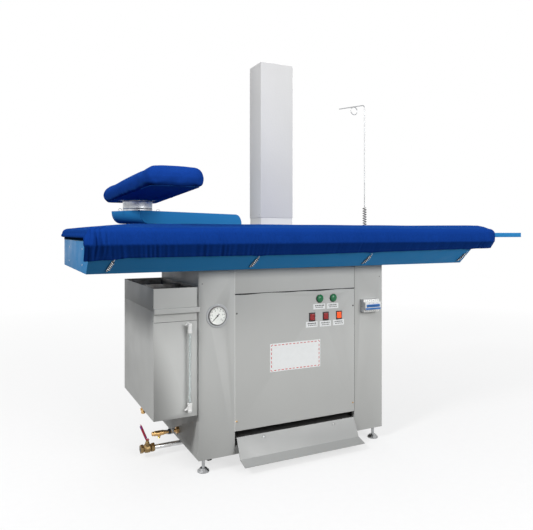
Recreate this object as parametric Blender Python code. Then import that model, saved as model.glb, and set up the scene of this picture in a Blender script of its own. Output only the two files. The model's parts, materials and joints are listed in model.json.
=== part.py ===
"""Vacuum ironing table with built-in steam boiler, sleeve buck and hose hanger.

The table is laid out from the cabinet's front left corner at floor level: +X runs
along the cabinet's front, +Y to the back and +Z up. A parent empty then puts the
origin on the floor under the middle of the whole table. Lengths are in metres.
"""

import math

import bmesh
import bpy
from mathutils import Matrix, Vector

MM = 0.001

# Fits and overruns
FIT_GAP = 0.3 * MM
RUNNING_GAP = 0.5 * MM
OVERRUN = 10 * MM
MERGE_DISTANCE = 0.01 * MM
ROUND_SIDES = 24
SMALL_SIDES = 12
SHARP_ANGLE = math.radians(35)
SHOULDER_SHARES = (1 / 3, 2 / 3, 1)
CORNER_LIMIT_SHARE = 0.95

# Cabinet
CABINET_WIDTH = 800 * MM
CABINET_DEPTH = 480 * MM
CABINET_BOTTOM = 50 * MM
CABINET_TOP = 723 * MM
SHEET = 1.5 * MM
COLUMN_WIDTH = 138 * MM
COLUMN_RETURN = 20 * MM
FASCIA_HEIGHT = 92 * MM
FASCIA_BOTTOM = CABINET_TOP - FASCIA_HEIGHT
COVER_BOTTOM = 133 * MM
COVER_FLANGE = 15 * MM
BASE_FLOOR = 80 * MM
BASE_THICKNESS = 2 * MM
TOP_FRAME_HEIGHT = 30 * MM
TOP_FRAME_LEDGE = 28 * MM
TOP_FRAME_THICKNESS = 3 * MM

# Feet and casters
FOOT_INSET = 27 * MM
FOOT_PAD_RADIUS = 22 * MM
FOOT_PAD_HEIGHT = 14 * MM
FOOT_STUD_RADIUS = 6 * MM
FOOT_TRAVEL = 20 * MM
CASTER_X = 75 * MM
CASTER_Y = 95 * MM
WHEEL_RADIUS = 25 * MM
WHEEL_WIDTH = 18 * MM
WHEEL_LIFT = 2.5 * MM
AXLE_RADIUS = 4 * MM
FORK_PLATE = 2.5 * MM
FORK_LENGTH = 22 * MM
FORK_CROWN_RADIUS = 17 * MM
CASTER_STEM_RADIUS = 6 * MM
CASTER_TRAIL = 8 * MM

# Vacuum tray under the table top
TRAY_OVERHANG = 387 * MM
TRAY_LEFT = -TRAY_OVERHANG
TRAY_RIGHT = CABINET_WIDTH + TRAY_OVERHANG
TRAY_FRONT = -148 * MM
TRAY_BACK = 548 * MM
TRAY_SLANT_FOOT = -50 * MM
TRAY_DEPTH = 127 * MM
TRAY_RIM = CABINET_TOP + TRAY_DEPTH
TRAY_LIP = 34 * MM
TRAY_SLANT_TOP = TRAY_RIM - TRAY_LIP
TRAY_WALL = 2 * MM
TRAY_OUTLET_RADIUS = 75 * MM

# Perforated top plate and padded cover
PLATE_THICKNESS = 3 * MM
PLATE_REACH = 131 * MM
PLATE_RIGHT = TRAY_RIGHT + PLATE_REACH
PLATE_INSET = 2 * MM
PLATE_HOLE_RADIUS = 6 * MM
PLATE_HOLE_COLUMNS = 8
PLATE_HOLE_ROWS = 3
PAD_EDGE = 6 * MM
PAD_THICKNESS = 17 * MM
PAD_CROWN = 8 * MM
PAD_SHOULDER = 20 * MM
PAD_RIGHT_CORNER = 95 * MM
HEM_FRONT_DROP = 75 * MM
HEM_FRONT = TRAY_RIM - HEM_FRONT_DROP
HEM_LEFT_DROP = 13.5 * MM
HEM_LEFT = TRAY_RIM - HEM_LEFT_DROP
HEM_BACK_DROP = 50 * MM
HEM_BACK = TRAY_RIM - HEM_BACK_DROP
HEM_DROOP = 9 * MM
HEM_RIGHT_RISE = 11 * MM
HEM_DROOP_LENGTH = 120 * MM
BELLY_SHARE = 0.7

# Cover springs, hooked from the hem to the tray's lower edge
COVER_SPRING_PLACE_SHARES = (0.0477, 0.3621, 0.6703, 0.988)
COVER_SPRING_LEAN = 14 * MM
COVER_SPRING_RADIUS = 3.6 * MM
COVER_SPRING_WIRE = 0.8 * MM
COVER_SPRING_CURLS = 9
CURL_POINTS = 8
HOOK_START_SHARE = 0.51
HOOK_END_SHARE = 0.91

# Iron rest at the right end
REST_LENGTH = 256 * MM
REST_RIGHT = PLATE_RIGHT + REST_LENGTH
REST_FRONT = -50 * MM
REST_BACK = 330 * MM
REST_HEIGHT = 20 * MM
REST_WALL = 2 * MM
REST_BAR_WIDTH = 30 * MM
REST_BAR_THICKNESS = 4 * MM
REST_BAR_INSET = 70 * MM

# Water tank on the left side
TANK_WIDTH = 158 * MM
TANK_FRONT = 8 * MM
TANK_BACK = 476 * MM
TANK_BOTTOM = 210 * MM
TANK_DROP = 61 * MM
TANK_TOP = CABINET_TOP - TANK_DROP
COLLAR_HEIGHT = 77 * MM
TANK_SEAM = TANK_TOP - COLLAR_HEIGHT
TANK_WALL = 2 * MM
STRAP_DROP = 10 * MM
STRAP_BOTTOM = TANK_SEAM - STRAP_DROP
STRAP_HEIGHT = 18.5 * MM
STRAP_PROUD = 2 * MM
STRAP_REACH = 5 * MM
SIGHT_X = -36 * MM
SIGHT_RISE = 28 * MM
SIGHT_BOTTOM = TANK_BOTTOM + SIGHT_RISE
SIGHT_DROP = 53 * MM
SIGHT_TOP = TANK_SEAM - SIGHT_DROP
SIGHT_RADIUS = 4.5 * MM
SIGHT_STANDOFF = 20 * MM
FITTING_RADIUS = 8 * MM
FITTING_LENGTH = 26 * MM
FLOAT_DROP = 85 * MM
FLOAT_HINGE_Z = TANK_SEAM - FLOAT_DROP
FLOAT_ARM_LENGTH = 150 * MM
FLOAT_RADIUS = 38 * MM
FLOAT_ROD_RADIUS = 3 * MM

# Gauge on the left column
GAUGE_X = 70 * MM
GAUGE_DROP = 166 * MM
GAUGE_Z = CABINET_TOP - GAUGE_DROP
GAUGE_FLANGE_RADIUS = 42.5 * MM
GAUGE_DIAL_RADIUS = 31 * MM
GAUGE_BODY_RADIUS = 33 * MM
GAUGE_PROUD = 7 * MM
GAUGE_FLANGE_THICKNESS = 2.5 * MM
GAUGE_BODY_DEPTH = 42 * MM
GAUGE_DIAL_DEPTH = 4.5 * MM
NEEDLE_THICKNESS = 1 * MM
NEEDLE_HUB_RADIUS = 3.5 * MM
NEEDLE_REACH = 25 * MM
NEEDLE_TAIL = 9 * MM
NEEDLE_REST_ANGLE = math.radians(135)

# Lamps and rocker switches on the front cover
LAMP_INSET = 102.4 * MM
LAMP_PITCH = 62.1 * MM
LAMP_DROP = 35 * MM
LAMP_Z = FASCIA_BOTTOM - LAMP_DROP
LAMP_RADIUS = 15 * MM
LAMP_PROUD = 9 * MM
LAMP_BODY_RADIUS = 11 * MM
LAMP_BODY_DEPTH = 30 * MM
ROCKER_INSET = 75 * MM
ROCKER_PITCH = 62 * MM
ROCKER_DROP = 70 * MM
ROCKER_Z = LAMP_Z - ROCKER_DROP
ROCKER_WIDTH = 20 * MM
ROCKER_HEIGHT = 24 * MM
ROCKER_SWING_GAP = 1 * MM
ROCKER_DEPTH = 14 * MM
ROCKER_PROUD = 4 * MM
ROCKER_DISH = 1.2 * MM
ROCKER_PIVOT_DEPTH = 3 * MM
ROCKER_TILT = math.radians(6)
ROCKER_PIN_RADIUS = 2 * MM
ROCKER_LUG = 4 * MM

# Circuit breaker on the right column
BREAKER_INSET = 69.5 * MM
BREAKER_X = CABINET_WIDTH - BREAKER_INSET
BREAKER_DROP = 165 * MM
BREAKER_Z = CABINET_TOP - BREAKER_DROP
BREAKER_WIDTH = 77 * MM
BREAKER_HEIGHT = 51.5 * MM
BREAKER_PROUD = 33 * MM
BREAKER_DEPTH = 40 * MM
BREAKER_NOSE_HEIGHT = 30 * MM
BREAKER_NOSE_DEPTH = 12 * MM
TOGGLE_WIDTH = 64 * MM
TOGGLE_RADIUS = 6 * MM
TOGGLE_LENGTH = 11 * MM
TOGGLE_REST_ANGLE = math.radians(-30)

# Pedal under the front cover
PEDAL_GAP = 5 * MM
PEDAL_LEFT = COLUMN_WIDTH + PEDAL_GAP
PEDAL_RIGHT_GAP = 7 * MM
PEDAL_RIGHT = CABINET_WIDTH - COLUMN_WIDTH - PEDAL_RIGHT_GAP
PEDAL_PLATE = 2.5 * MM
PEDAL_HINGE_Y = 50 * MM
PEDAL_HINGE_Z = 101 * MM
PEDAL_TUBE_RADIUS = 8 * MM
PEDAL_PIN_RADIUS = 4 * MM
PEDAL_TOP_Z = 112 * MM
PEDAL_FOLD_Y = -36 * MM
PEDAL_FOLD_Z = 41 * MM
PEDAL_TIP_Y = -80 * MM
PEDAL_TIP_Z = 29 * MM
PEDAL_EAR = 6 * MM
PEDAL_EAR_WIDTH = 20 * MM

# Boiler, fan and duct
BOILER_X = 235 * MM
BOILER_FRONT = 90 * MM
BOILER_WALL = 4 * MM
BOILER_RADIUS = 88 * MM
BOILER_LENGTH = 360 * MM
BOILER_LEG = 45 * MM
BOILER_LEG_WIDTH = 24 * MM
FAN_INSET = 255 * MM
FAN_X = CABINET_WIDTH - FAN_INSET
FAN_Y = 235 * MM
FAN_RADIUS = 108 * MM
FAN_HEIGHT = 96 * MM
FAN_WALL = 2.5 * MM
FAN_INLET_RADIUS = 60 * MM
FAN_OUTLET_WIDTH = 110 * MM
IMPELLER_RADIUS = 88 * MM
IMPELLER_HEIGHT = 58 * MM
IMPELLER_BLADES = 10
IMPELLER_PLATE = 3 * MM
SHAFT_RADIUS = 7 * MM
MOTOR_RADIUS = 62 * MM
MOTOR_HEIGHT = 150 * MM
DUCT_INSET = 284 * MM
DUCT_LEFT = CABINET_WIDTH - DUCT_INSET
DUCT_WIDTH = 176 * MM
DUCT_FRONT = 570 * MM
DUCT_DEPTH = 130 * MM
DUCT_TOP = 1685 * MM
DUCT_SEAM = 927 * MM
DUCT_WALL = 1.5 * MM
DUCT_LAP = 25 * MM
EXHAUST_BOX_DROP = 23 * MM
EXHAUST_BOX_TOP = CABINET_TOP - EXHAUST_BOX_DROP
EXHAUST_BOX_HEIGHT = 140 * MM
EXHAUST_BOX_BOTTOM = EXHAUST_BOX_TOP - EXHAUST_BOX_HEIGHT

# Swing arm with the sleeve buck
POST_X = 261 * MM
POST_Y = 588 * MM
POST_RADIUS = 24 * MM
POST_WALL = 3 * MM
POST_RISE = 5 * MM
POST_BOTTOM = CABINET_TOP + POST_RISE
POST_BRACKET_WIDTH = 80 * MM
POST_BRACKET_HEIGHT = 56 * MM
ARM_LIFT = 40 * MM
ARM_BOTTOM = TRAY_RIM + ARM_LIFT
ARM_HEIGHT = 50 * MM
ARM_TOP = ARM_BOTTOM + ARM_HEIGHT
ARM_WIDTH = 165 * MM
ARM_NEAR = 505 * MM
ARM_FAR = 134 * MM
ARM_HEEL_CLEAR = 1 * MM
ARM_ROUND = 45 * MM
ARM_WALL = 2 * MM
ARM_HEADING = math.radians(208.6)
NECK_REACH = 442 * MM
NECK_RADIUS = 57.5 * MM
NECK_HEIGHT = 43.5 * MM
NECK_TOP = ARM_TOP + NECK_HEIGHT
NECK_WALL = 2 * MM
NECK_SPIGOT = 20 * MM
NECK_BEAD = 4 * MM
BUCK_FRONT = -163 * MM
BUCK_LENGTH = 664 * MM
BUCK_FRONT_WIDTH = 182 * MM
BUCK_BACK_WIDTH = 222 * MM
BUCK_THICKNESS = 66 * MM
BUCK_CORNER = 32 * MM
BUCK_TILT = math.radians(-2)
BUCK_PAN_INSET = 22 * MM
BUCK_PAN_DEPTH = 20 * MM
BUCK_SHOULDER = 24 * MM
BUCK_CROWN = 7 * MM
BUCK_HEM_INSET = 9 * MM
BUCK_CROWN_SHARE = 0.8

# Hose hanger
HANGER_INSET = 51 * MM
HANGER_X = TRAY_RIGHT - HANGER_INSET
HANGER_Y = 576 * MM
HANGER_BRACKET_WIDTH = 40 * MM
HANGER_BRACKET_RISE = 12 * MM
HANGER_BRACKET_BOTTOM = CABINET_TOP + HANGER_BRACKET_RISE
HANGER_BRACKET_HEIGHT = 50 * MM
HANGER_STUB_RADIUS = 5 * MM
HANGER_STUB_RISE = 6 * MM
HANGER_STUB_TOP = TRAY_RIM + HANGER_STUB_RISE
HANGER_COLLAR_RADIUS = 12 * MM
HANGER_COLLAR_HEIGHT = 8 * MM
HANGER_SPRING_LIFT = 1.4 * MM
HANGER_SPRING_HEIGHT = 134 * MM
HANGER_SPRING_TOP = HANGER_STUB_TOP + HANGER_SPRING_HEIGHT
HANGER_SPRING_RADIUS = 9 * MM
HANGER_SPRING_WIRE = 1.9 * MM
HANGER_SPRING_CURLS = 8
HANGER_ROD_RADIUS = 2.5 * MM
HANGER_ROD_HEIGHT = 679 * MM
HANGER_ROD_TOP = HANGER_STUB_TOP + HANGER_ROD_HEIGHT
HANGER_ARM = 162 * MM
HANGER_DROOP = 34 * MM
HANGER_BEND = 12 * MM
HANGER_RING_RADIUS = 20 * MM
HANGER_RING_PLACE_SHARE = 0.42

# Valves under the tank
BLOWDOWN_Y = 235 * MM
BLOWDOWN_Z = 36 * MM
BLOWDOWN_PIPE_RADIUS = 9 * MM
BLOWDOWN_REACH = 150 * MM
BLOWDOWN_BEND = 15 * MM
VALVE_BODY_RADIUS = 17 * MM
VALVE_BODY_LENGTH = 54 * MM
VALVE_STEM_RADIUS = 5 * MM
VALVE_BONNET_RADIUS = 8 * MM
VALVE_STEM_LENGTH = 14 * MM
LEVER_WIDTH = 13 * MM
LEVER_LENGTH = 60 * MM
LEVER_THICKNESS = 3 * MM
LEVER_RISE = 26 * MM
INLET_X = -78 * MM
INLET_Y = 235 * MM
INLET_Z = 86 * MM
INLET_BODY_RADIUS = 10 * MM
INLET_PIPE_RADIUS = 6 * MM
INLET_NUT_RADIUS = 14 * MM
INLET_NIPPLE_RADIUS = 5 * MM
INLET_BODY_LENGTH = 56 * MM
DRAIN_Y = 230 * MM
DRAIN_X = -140 * MM
DRAIN_RADIUS = 8 * MM
DRAIN_BRANCH_RADIUS = 5.6 * MM
DRAIN_LENGTH = 38 * MM

# Boiler feed pump
PUMP_GAP = 77 * MM
PUMP_X = BOILER_X + BOILER_RADIUS + PUMP_GAP
PUMP_Y = 330 * MM
PUMP_RADIUS = 35 * MM
PUMP_LENGTH = 120 * MM
PUMP_FOOT = 12 * MM

# Whole table's extents, for the origin under its middle
TABLE_LEFT = TRAY_LEFT - FIT_GAP - PAD_EDGE
TABLE_RIGHT = REST_RIGHT
TABLE_BACK = DUCT_FRONT + DUCT_DEPTH

# Where pieces meet
COVER_RIGHT = CABINET_WIDTH - COLUMN_WIDTH
LAMP_PLACES = (COVER_RIGHT - LAMP_INSET - LAMP_PITCH, COVER_RIGHT - LAMP_INSET)
ROCKER_LAST = COVER_RIGHT - ROCKER_INSET
ROCKER_PLACES = (ROCKER_LAST - 2 * ROCKER_PITCH, ROCKER_LAST - ROCKER_PITCH, ROCKER_LAST)
INNER_LEFT = SHEET + FIT_GAP
INNER_RIGHT = CABINET_WIDTH - SHEET - FIT_GAP
INNER_FRONT = SHEET + FIT_GAP
INNER_BACK = CABINET_DEPTH - SHEET - FIT_GAP
PANEL_TOP = CABINET_TOP - FIT_GAP
TANK_RIGHT = -FIT_GAP
PLATE_TOP = TRAY_RIM + FIT_GAP + PLATE_THICKNESS
AXLE_Z = WHEEL_RADIUS + WHEEL_LIFT
FORK_TOP = BASE_FLOOR - BASE_THICKNESS - FIT_GAP


def material(name, colour, roughness=0.5, metallic=0.0):
    """Return a Principled material with its colour, roughness and metallic value."""
    made = bpy.data.materials.new(name)
    made.use_nodes = True
    shader = made.node_tree.nodes["Principled BSDF"]
    shader.inputs["Base Color"].default_value = (*colour, 1)
    shader.inputs["Roughness"].default_value = roughness
    shader.inputs["Metallic"].default_value = metallic
    made.diffuse_color = (*colour, 1)
    return made


GREY_PAINT = material("grey_paint", (0.43, 0.43, 0.42), 0.45)
DUCT_GREY = material("duct_grey", (0.55, 0.56, 0.57), 0.4)
TEAL_PAINT = material("teal_paint", (0.06, 0.24, 0.42), 0.35)
BLUE_CLOTH = material("blue_cloth", (0.012, 0.07, 0.42), 0.85)
ZINC = material("zinc", (0.6, 0.6, 0.58), 0.35, 1.0)
DARK_STEEL = material("dark_steel", (0.2, 0.2, 0.2), 0.5, 1.0)
BRASS = material("brass", (0.55, 0.36, 0.14), 0.4, 1.0)
BLACK_PLASTIC = material("black_plastic", (0.02, 0.02, 0.02), 0.4)
WHITE_PLASTIC = material("white_plastic", (0.8, 0.8, 0.8), 0.4)
RED_PLASTIC = material("red_plastic", (0.5, 0.02, 0.02), 0.3)
BLUE_PLASTIC = material("blue_plastic", (0.03, 0.2, 0.5), 0.35)
GREEN_LENS = material("green_lens", (0.01, 0.4, 0.15), 0.2)
BLACK_RUBBER = material("black_rubber", (0.03, 0.03, 0.03), 0.8)
CLEAR_TUBE = material("clear_tube", (0.75, 0.78, 0.76), 0.15)
LEVER_RED = material("lever_red", (0.5, 0.02, 0.12), 0.5)


def clear_scene():
    """Remove every object of the open scene."""
    for thing in list(bpy.data.objects):
        bpy.data.objects.remove(thing, do_unlink=True)


def add_object(name, shape, finish):
    """Turn a bmesh into a linked object with one material."""
    bmesh.ops.remove_doubles(shape, verts=shape.verts, dist=MERGE_DISTANCE)
    bmesh.ops.recalc_face_normals(shape, faces=shape.faces)
    mesh = bpy.data.meshes.new(name)
    shape.to_mesh(mesh)
    shape.free()
    mesh.materials.append(finish)
    made = bpy.data.objects.new(name, mesh)
    bpy.context.collection.objects.link(made)
    return made


def box(name, low, high, finish=GREY_PAINT):
    """Box between two corners."""
    shape = bmesh.new()
    bmesh.ops.create_cube(shape, size=1)
    for vert in shape.verts:
        for axis in range(3):
            middle = (low[axis] + high[axis]) / 2
            vert.co[axis] = middle + vert.co[axis] * (high[axis] - low[axis])
    return add_object(name, shape, finish)


def prism(name, outline, axis, start, end, finish=GREY_PAINT):
    """Extrude an outline of pairs along the axis 0, 1 or 2 from start to end.

    The pairs are the other two coordinates in the order x, y, z.
    """
    shape = bmesh.new()
    others = [index for index in range(3) if index != axis]
    rings = []
    for place in (start, end):
        ring = []
        for pair in outline:
            point = [0, 0, 0]
            point[axis] = place
            point[others[0]] = pair[0]
            point[others[1]] = pair[1]
            ring.append(shape.verts.new(point))
        rings.append(ring)
    shape.faces.new(rings[0])
    shape.faces.new(list(reversed(rings[1])))
    bridge(shape, rings[0], rings[1])
    return add_object(name, shape, finish)


def bridge(shape, first, second):
    """Join two closed rings of as many points with quads."""
    count = len(first)
    for index in range(count):
        after = (index + 1) % count
        shape.faces.new((first[index], second[index], second[after], first[after]))


def turned(name, profile, centre, finish, axis=(0, 0, 1), sides=ROUND_SIDES):
    """Turn a profile of (radius, height) pairs round an axis through centre.

    A profile that starts and ends at radius 0 closes at its poles, and any other
    one closes on itself, as a ring.
    """
    shape = bmesh.new()
    turn = Vector((0, 0, 1)).rotation_difference(Vector(axis)).to_matrix().to_4x4()
    place = Matrix.Translation(Vector(centre)) @ turn
    rings = []
    for radius, height in profile:
        if radius == 0:
            rings.append([shape.verts.new(place @ Vector((0, 0, height)))])
            continue
        ring = []
        for index in range(sides):
            angle = 2 * math.pi * index / sides
            point = Vector((radius * math.cos(angle), radius * math.sin(angle), height))
            ring.append(shape.verts.new(place @ point))
        rings.append(ring)
    pairs = list(zip(rings, rings[1:]))
    if profile[0][0] != 0:
        pairs.append((rings[-1], rings[0]))
    for first, second in pairs:
        if len(first) == 1 or len(second) == 1:
            pole, ring = (first, second) if len(first) == 1 else (second, first)
            for index in range(sides):
                shape.faces.new((pole[0], ring[index], ring[(index + 1) % sides]))
        else:
            bridge(shape, first, second)
    made = add_object(name, shape, finish)
    smooth(made)
    return made


def rod(name, start, end, radius, finish=ZINC, sides=SMALL_SIDES):
    """Round bar from start to end."""
    reach = Vector(end) - Vector(start)
    profile = ((0, 0), (radius, 0), (radius, reach.length), (0, reach.length))
    return turned(name, profile, start, finish, reach.normalized(), sides)


def pipe(name, start, end, radius, wall, finish=ZINC, sides=ROUND_SIDES):
    """Open round tube from start to end."""
    reach = Vector(end) - Vector(start)
    inner = radius - wall
    profile = ((radius, 0), (radius, reach.length), (inner, reach.length), (inner, 0))
    return turned(name, profile, start, finish, reach.normalized(), sides)


def wire(name, points, radius, finish=ZINC, resolution=1):
    """Round wire along points, with filled ends."""
    curve = bpy.data.curves.new(name, "CURVE")
    curve.dimensions = "3D"
    curve.bevel_depth = radius
    curve.bevel_resolution = resolution
    curve.use_fill_caps = True
    spline = curve.splines.new("POLY")
    spline.points.add(len(points) - 1)
    for target, point in zip(spline.points, points):
        target.co = (*point, 1)
    curve.materials.append(finish)
    made = bpy.data.objects.new(name, curve)
    bpy.context.collection.objects.link(made)
    return made


def as_mesh(thing):
    """Replace an object's data by the mesh that it evaluates to."""
    graph = bpy.context.evaluated_depsgraph_get()
    mesh = bpy.data.meshes.new_from_object(thing.evaluated_get(graph))
    finish = thing.data.materials[0]
    name = thing.name
    if thing.type != "MESH":
        bpy.data.objects.remove(thing, do_unlink=True)
        thing = bpy.data.objects.new(name, mesh)
        bpy.context.collection.objects.link(thing)
    else:
        thing.modifiers.clear()
        thing.data = mesh
    mesh.materials.clear()
    mesh.materials.append(finish)
    return thing


def combine(base, tools, operation):
    """Run an exact Boolean of base with each tool and delete the tools."""
    for tool in tools:
        change = base.modifiers.new(operation.lower(), "BOOLEAN")
        change.operation = operation
        change.solver = "EXACT"
        change.object = tool
        base = as_mesh(base)
        bpy.data.objects.remove(tool, do_unlink=True)
        merge_slivers(base)
    smooth(base)
    return base


def merge_slivers(thing):
    """Merge the corners that a Boolean left a hair apart."""
    shape = bmesh.new()
    shape.from_mesh(thing.data)
    bmesh.ops.remove_doubles(shape, verts=shape.verts, dist=MERGE_DISTANCE)
    shape.to_mesh(thing.data)
    shape.free()


def cut(base, *tools):
    """Take the tools' shapes out of base."""
    return combine(base, tools, "DIFFERENCE")


def weld(base, *tools):
    """Join the tools' shapes to base as one solid."""
    return combine(base, tools, "UNION")


def smooth(thing):
    """Shade round faces smooth and keep the folds sharp."""
    thing.data.shade_smooth()
    thing.data.set_sharp_from_angle(angle=SHARP_ANGLE)


def hang_on(thing, pivot):
    """Put the object's origin on its joint's axis without moving its shape."""
    thing.data.transform(Matrix.Translation(-Vector(pivot)))
    thing.location = pivot


def rounded_rectangle(low, high, corners, steps=6):
    """Outline of a rectangle whose four corners have their own radii.

    The radii are in the order low-low, high-low, high-high, low-high.
    """
    centres = (
        (low[0] + corners[0], low[1] + corners[0], math.pi),
        (high[0] - corners[1], low[1] + corners[1], 3 * math.pi / 2),
        (high[0] - corners[2], high[1] - corners[2], 0),
        (low[0] + corners[3], high[1] - corners[3], math.pi / 2),
    )
    outline = []
    for (x, y, start), radius in zip(centres, corners):
        for step in range(steps + 1):
            angle = start + math.pi / 2 * step / steps
            outline.append((x + radius * math.cos(angle), y + radius * math.sin(angle)))
    return outline


# Cabinet

def base_pan():
    """Base sheet with turned-down rims, pedal ears and the rear casters' forks."""
    pan = box("base_pan", (INNER_LEFT, INNER_FRONT, CABINET_BOTTOM), (INNER_RIGHT, INNER_BACK, BASE_FLOOR))
    hollow_low = (INNER_LEFT + BASE_THICKNESS, INNER_FRONT + BASE_THICKNESS, CABINET_BOTTOM - OVERRUN)
    hollow_high = (INNER_RIGHT - BASE_THICKNESS, INNER_BACK - BASE_THICKNESS, BASE_FLOOR - BASE_THICKNESS)
    cut(pan, box("hollow", hollow_low, hollow_high))
    for x, y in foot_places():
        hole_low = (x, y, CABINET_BOTTOM - OVERRUN)
        hole_high = (x, y, BASE_FLOOR + OVERRUN)
        cut(pan, rod("hole", hole_low, hole_high, FOOT_STUD_RADIUS + FIT_GAP))
    for x, y in caster_places(front=True):
        hole_low = (x, y, BASE_FLOOR - OVERRUN)
        hole_high = (x, y, BASE_FLOOR + OVERRUN)
        cut(pan, rod("hole", hole_low, hole_high, CASTER_STEM_RADIUS + FIT_GAP))
    riser_low = (BOILER_X, BLOWDOWN_Y, BASE_FLOOR - OVERRUN)
    riser_high = (BOILER_X, BLOWDOWN_Y, BASE_FLOOR + OVERRUN)
    cut(pan, rod("hole", riser_low, riser_high, BLOWDOWN_PIPE_RADIUS + FIT_GAP))
    for x, y in caster_places(front=False):
        weld(pan, caster_fork_solid("rear_fork", x, y, BASE_FLOOR - BASE_THICKNESS / 2, 0))
    inner = PEDAL_EAR + FIT_GAP
    for side, x in ((1, PEDAL_LEFT + inner), (-1, PEDAL_RIGHT - inner)):
        weld(pan, *pedal_ear(x, side))
    return pan


def pedal_ear(x, side):
    """Ear and stub pin that carry one end of the pedal's tube."""
    outer_x = x - side * PEDAL_EAR
    low = (min(x, outer_x), PEDAL_HINGE_Y - PEDAL_EAR_WIDTH / 2, BASE_FLOOR - BASE_THICKNESS / 2)
    high = (max(x, outer_x), PEDAL_HINGE_Y + PEDAL_EAR_WIDTH / 2, PEDAL_HINGE_Z + PEDAL_TUBE_RADIUS)
    pin_start = (x - side * PEDAL_EAR / 2, PEDAL_HINGE_Y, PEDAL_HINGE_Z)
    pin_end = (x + side * PEDAL_EAR_WIDTH, PEDAL_HINGE_Y, PEDAL_HINGE_Z)
    return box("ear", low, high), rod("pin", pin_start, pin_end, PEDAL_PIN_RADIUS)


def side_column(name, outer_x, inward):
    """Side wall bent round the front into a column with a turned-in edge."""
    inner_x = outer_x + inward * SHEET
    edge_x = outer_x + inward * COLUMN_WIDTH
    outline = [
        (outer_x, 0),
        (edge_x, 0),
        (edge_x, COLUMN_RETURN),
        (edge_x - inward * SHEET, COLUMN_RETURN),
        (edge_x - inward * SHEET, SHEET),
        (inner_x, SHEET),
        (inner_x, CABINET_DEPTH),
        (outer_x, CABINET_DEPTH),
    ]
    panel = prism(name, outline, 2, CABINET_BOTTOM, PANEL_TOP)
    notch_x = (edge_x - inward * OVERRUN, edge_x + inward * OVERRUN)
    low = (min(notch_x), SHEET, CABINET_BOTTOM - OVERRUN)
    return cut(panel, box("notch", low, (max(notch_x), COLUMN_RETURN + OVERRUN, BASE_FLOOR + FIT_GAP)))


def left_column_panel():
    """Left side wall and column, with the gauge's hole."""
    panel = side_column("left_column_panel", 0, 1)
    start = (GAUGE_X, -OVERRUN, GAUGE_Z)
    end = (GAUGE_X, OVERRUN, GAUGE_Z)
    return cut(panel, rod("hole", start, end, GAUGE_BODY_RADIUS + FIT_GAP, sides=ROUND_SIDES))


def right_column_panel():
    """Right side wall and column, with the breaker's cut-out."""
    panel = side_column("right_column_panel", CABINET_WIDTH, -1)
    low = (breaker_left() - FIT_GAP, -OVERRUN, BREAKER_Z - BREAKER_HEIGHT / 2 - FIT_GAP)
    high = (breaker_left() + BREAKER_WIDTH + FIT_GAP, OVERRUN, BREAKER_Z + BREAKER_HEIGHT / 2 + FIT_GAP)
    return cut(panel, box("hole", low, high))


def rear_panel():
    """Rear sheet with the fan's outlet."""
    low = (INNER_LEFT, CABINET_DEPTH - SHEET, CABINET_BOTTOM)
    panel = box("rear_panel", low, (INNER_RIGHT, CABINET_DEPTH, PANEL_TOP))
    hole_low = (fan_outlet_left() - FIT_GAP, CABINET_DEPTH - OVERRUN, fan_bottom() - FIT_GAP)
    hole_high = (fan_outlet_right() + FIT_GAP, CABINET_DEPTH + OVERRUN, fan_top() + FIT_GAP)
    return cut(panel, box("hole", hole_low, hole_high))


def fascia_panel():
    """Folded strip above the front cover, between the columns."""
    outline = [
        (0, FASCIA_BOTTOM),
        (COLUMN_RETURN, FASCIA_BOTTOM),
        (COLUMN_RETURN, FASCIA_BOTTOM + SHEET),
        (SHEET, FASCIA_BOTTOM + SHEET),
        (SHEET, PANEL_TOP),
        (0, PANEL_TOP),
    ]
    left = COLUMN_WIDTH + FIT_GAP
    return prism("fascia_panel", outline, 0, left, CABINET_WIDTH - left)


def front_cover():
    """Screwed front cover with folded edges and the controls' holes."""
    left = COLUMN_WIDTH + FIT_GAP
    right = CABINET_WIDTH - left
    top = FASCIA_BOTTOM - FIT_GAP
    cover = box("front_cover", (left, 0, COVER_BOTTOM), (right, COVER_FLANGE, top))
    hollow_low = (left + SHEET, SHEET, COVER_BOTTOM + SHEET)
    hollow_high = (right - SHEET, COVER_FLANGE + OVERRUN, top - SHEET)
    cut(cover, box("hollow", hollow_low, hollow_high))
    for x in LAMP_PLACES:
        start = (x, -OVERRUN, LAMP_Z)
        cut(cover, rod("hole", start, (x, OVERRUN, LAMP_Z), LAMP_BODY_RADIUS + FIT_GAP))
    for x in ROCKER_PLACES:
        width = ROCKER_WIDTH / 2 + FIT_GAP
        height = ROCKER_HEIGHT / 2 + ROCKER_SWING_GAP
        low = (x - width, -OVERRUN, ROCKER_Z - height)
        cut(cover, box("hole", low, (x + width, OVERRUN, ROCKER_Z + height)))
        weld(cover, *rocker_lugs(x))
    return cover


def rocker_lugs(x):
    """Two lugs behind the cover, with the stub pins that a rocker turns on."""
    made = []
    for side in (-1, 1):
        inner = x + side * (ROCKER_WIDTH / 2 + FIT_GAP)
        outer = inner + side * ROCKER_LUG
        low = (min(inner, outer), SHEET / 2, ROCKER_Z - ROCKER_LUG)
        high = (max(inner, outer), ROCKER_PIVOT_DEPTH + ROCKER_LUG, ROCKER_Z + ROCKER_LUG)
        made.append(box("lug", low, high))
        start = (inner + side * ROCKER_LUG / 2, ROCKER_PIVOT_DEPTH, ROCKER_Z)
        end = (inner - side * ROCKER_LUG / 2, ROCKER_PIVOT_DEPTH, ROCKER_Z)
        made.append(rod("pin", start, end, ROCKER_PIN_RADIUS))
    return made


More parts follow.
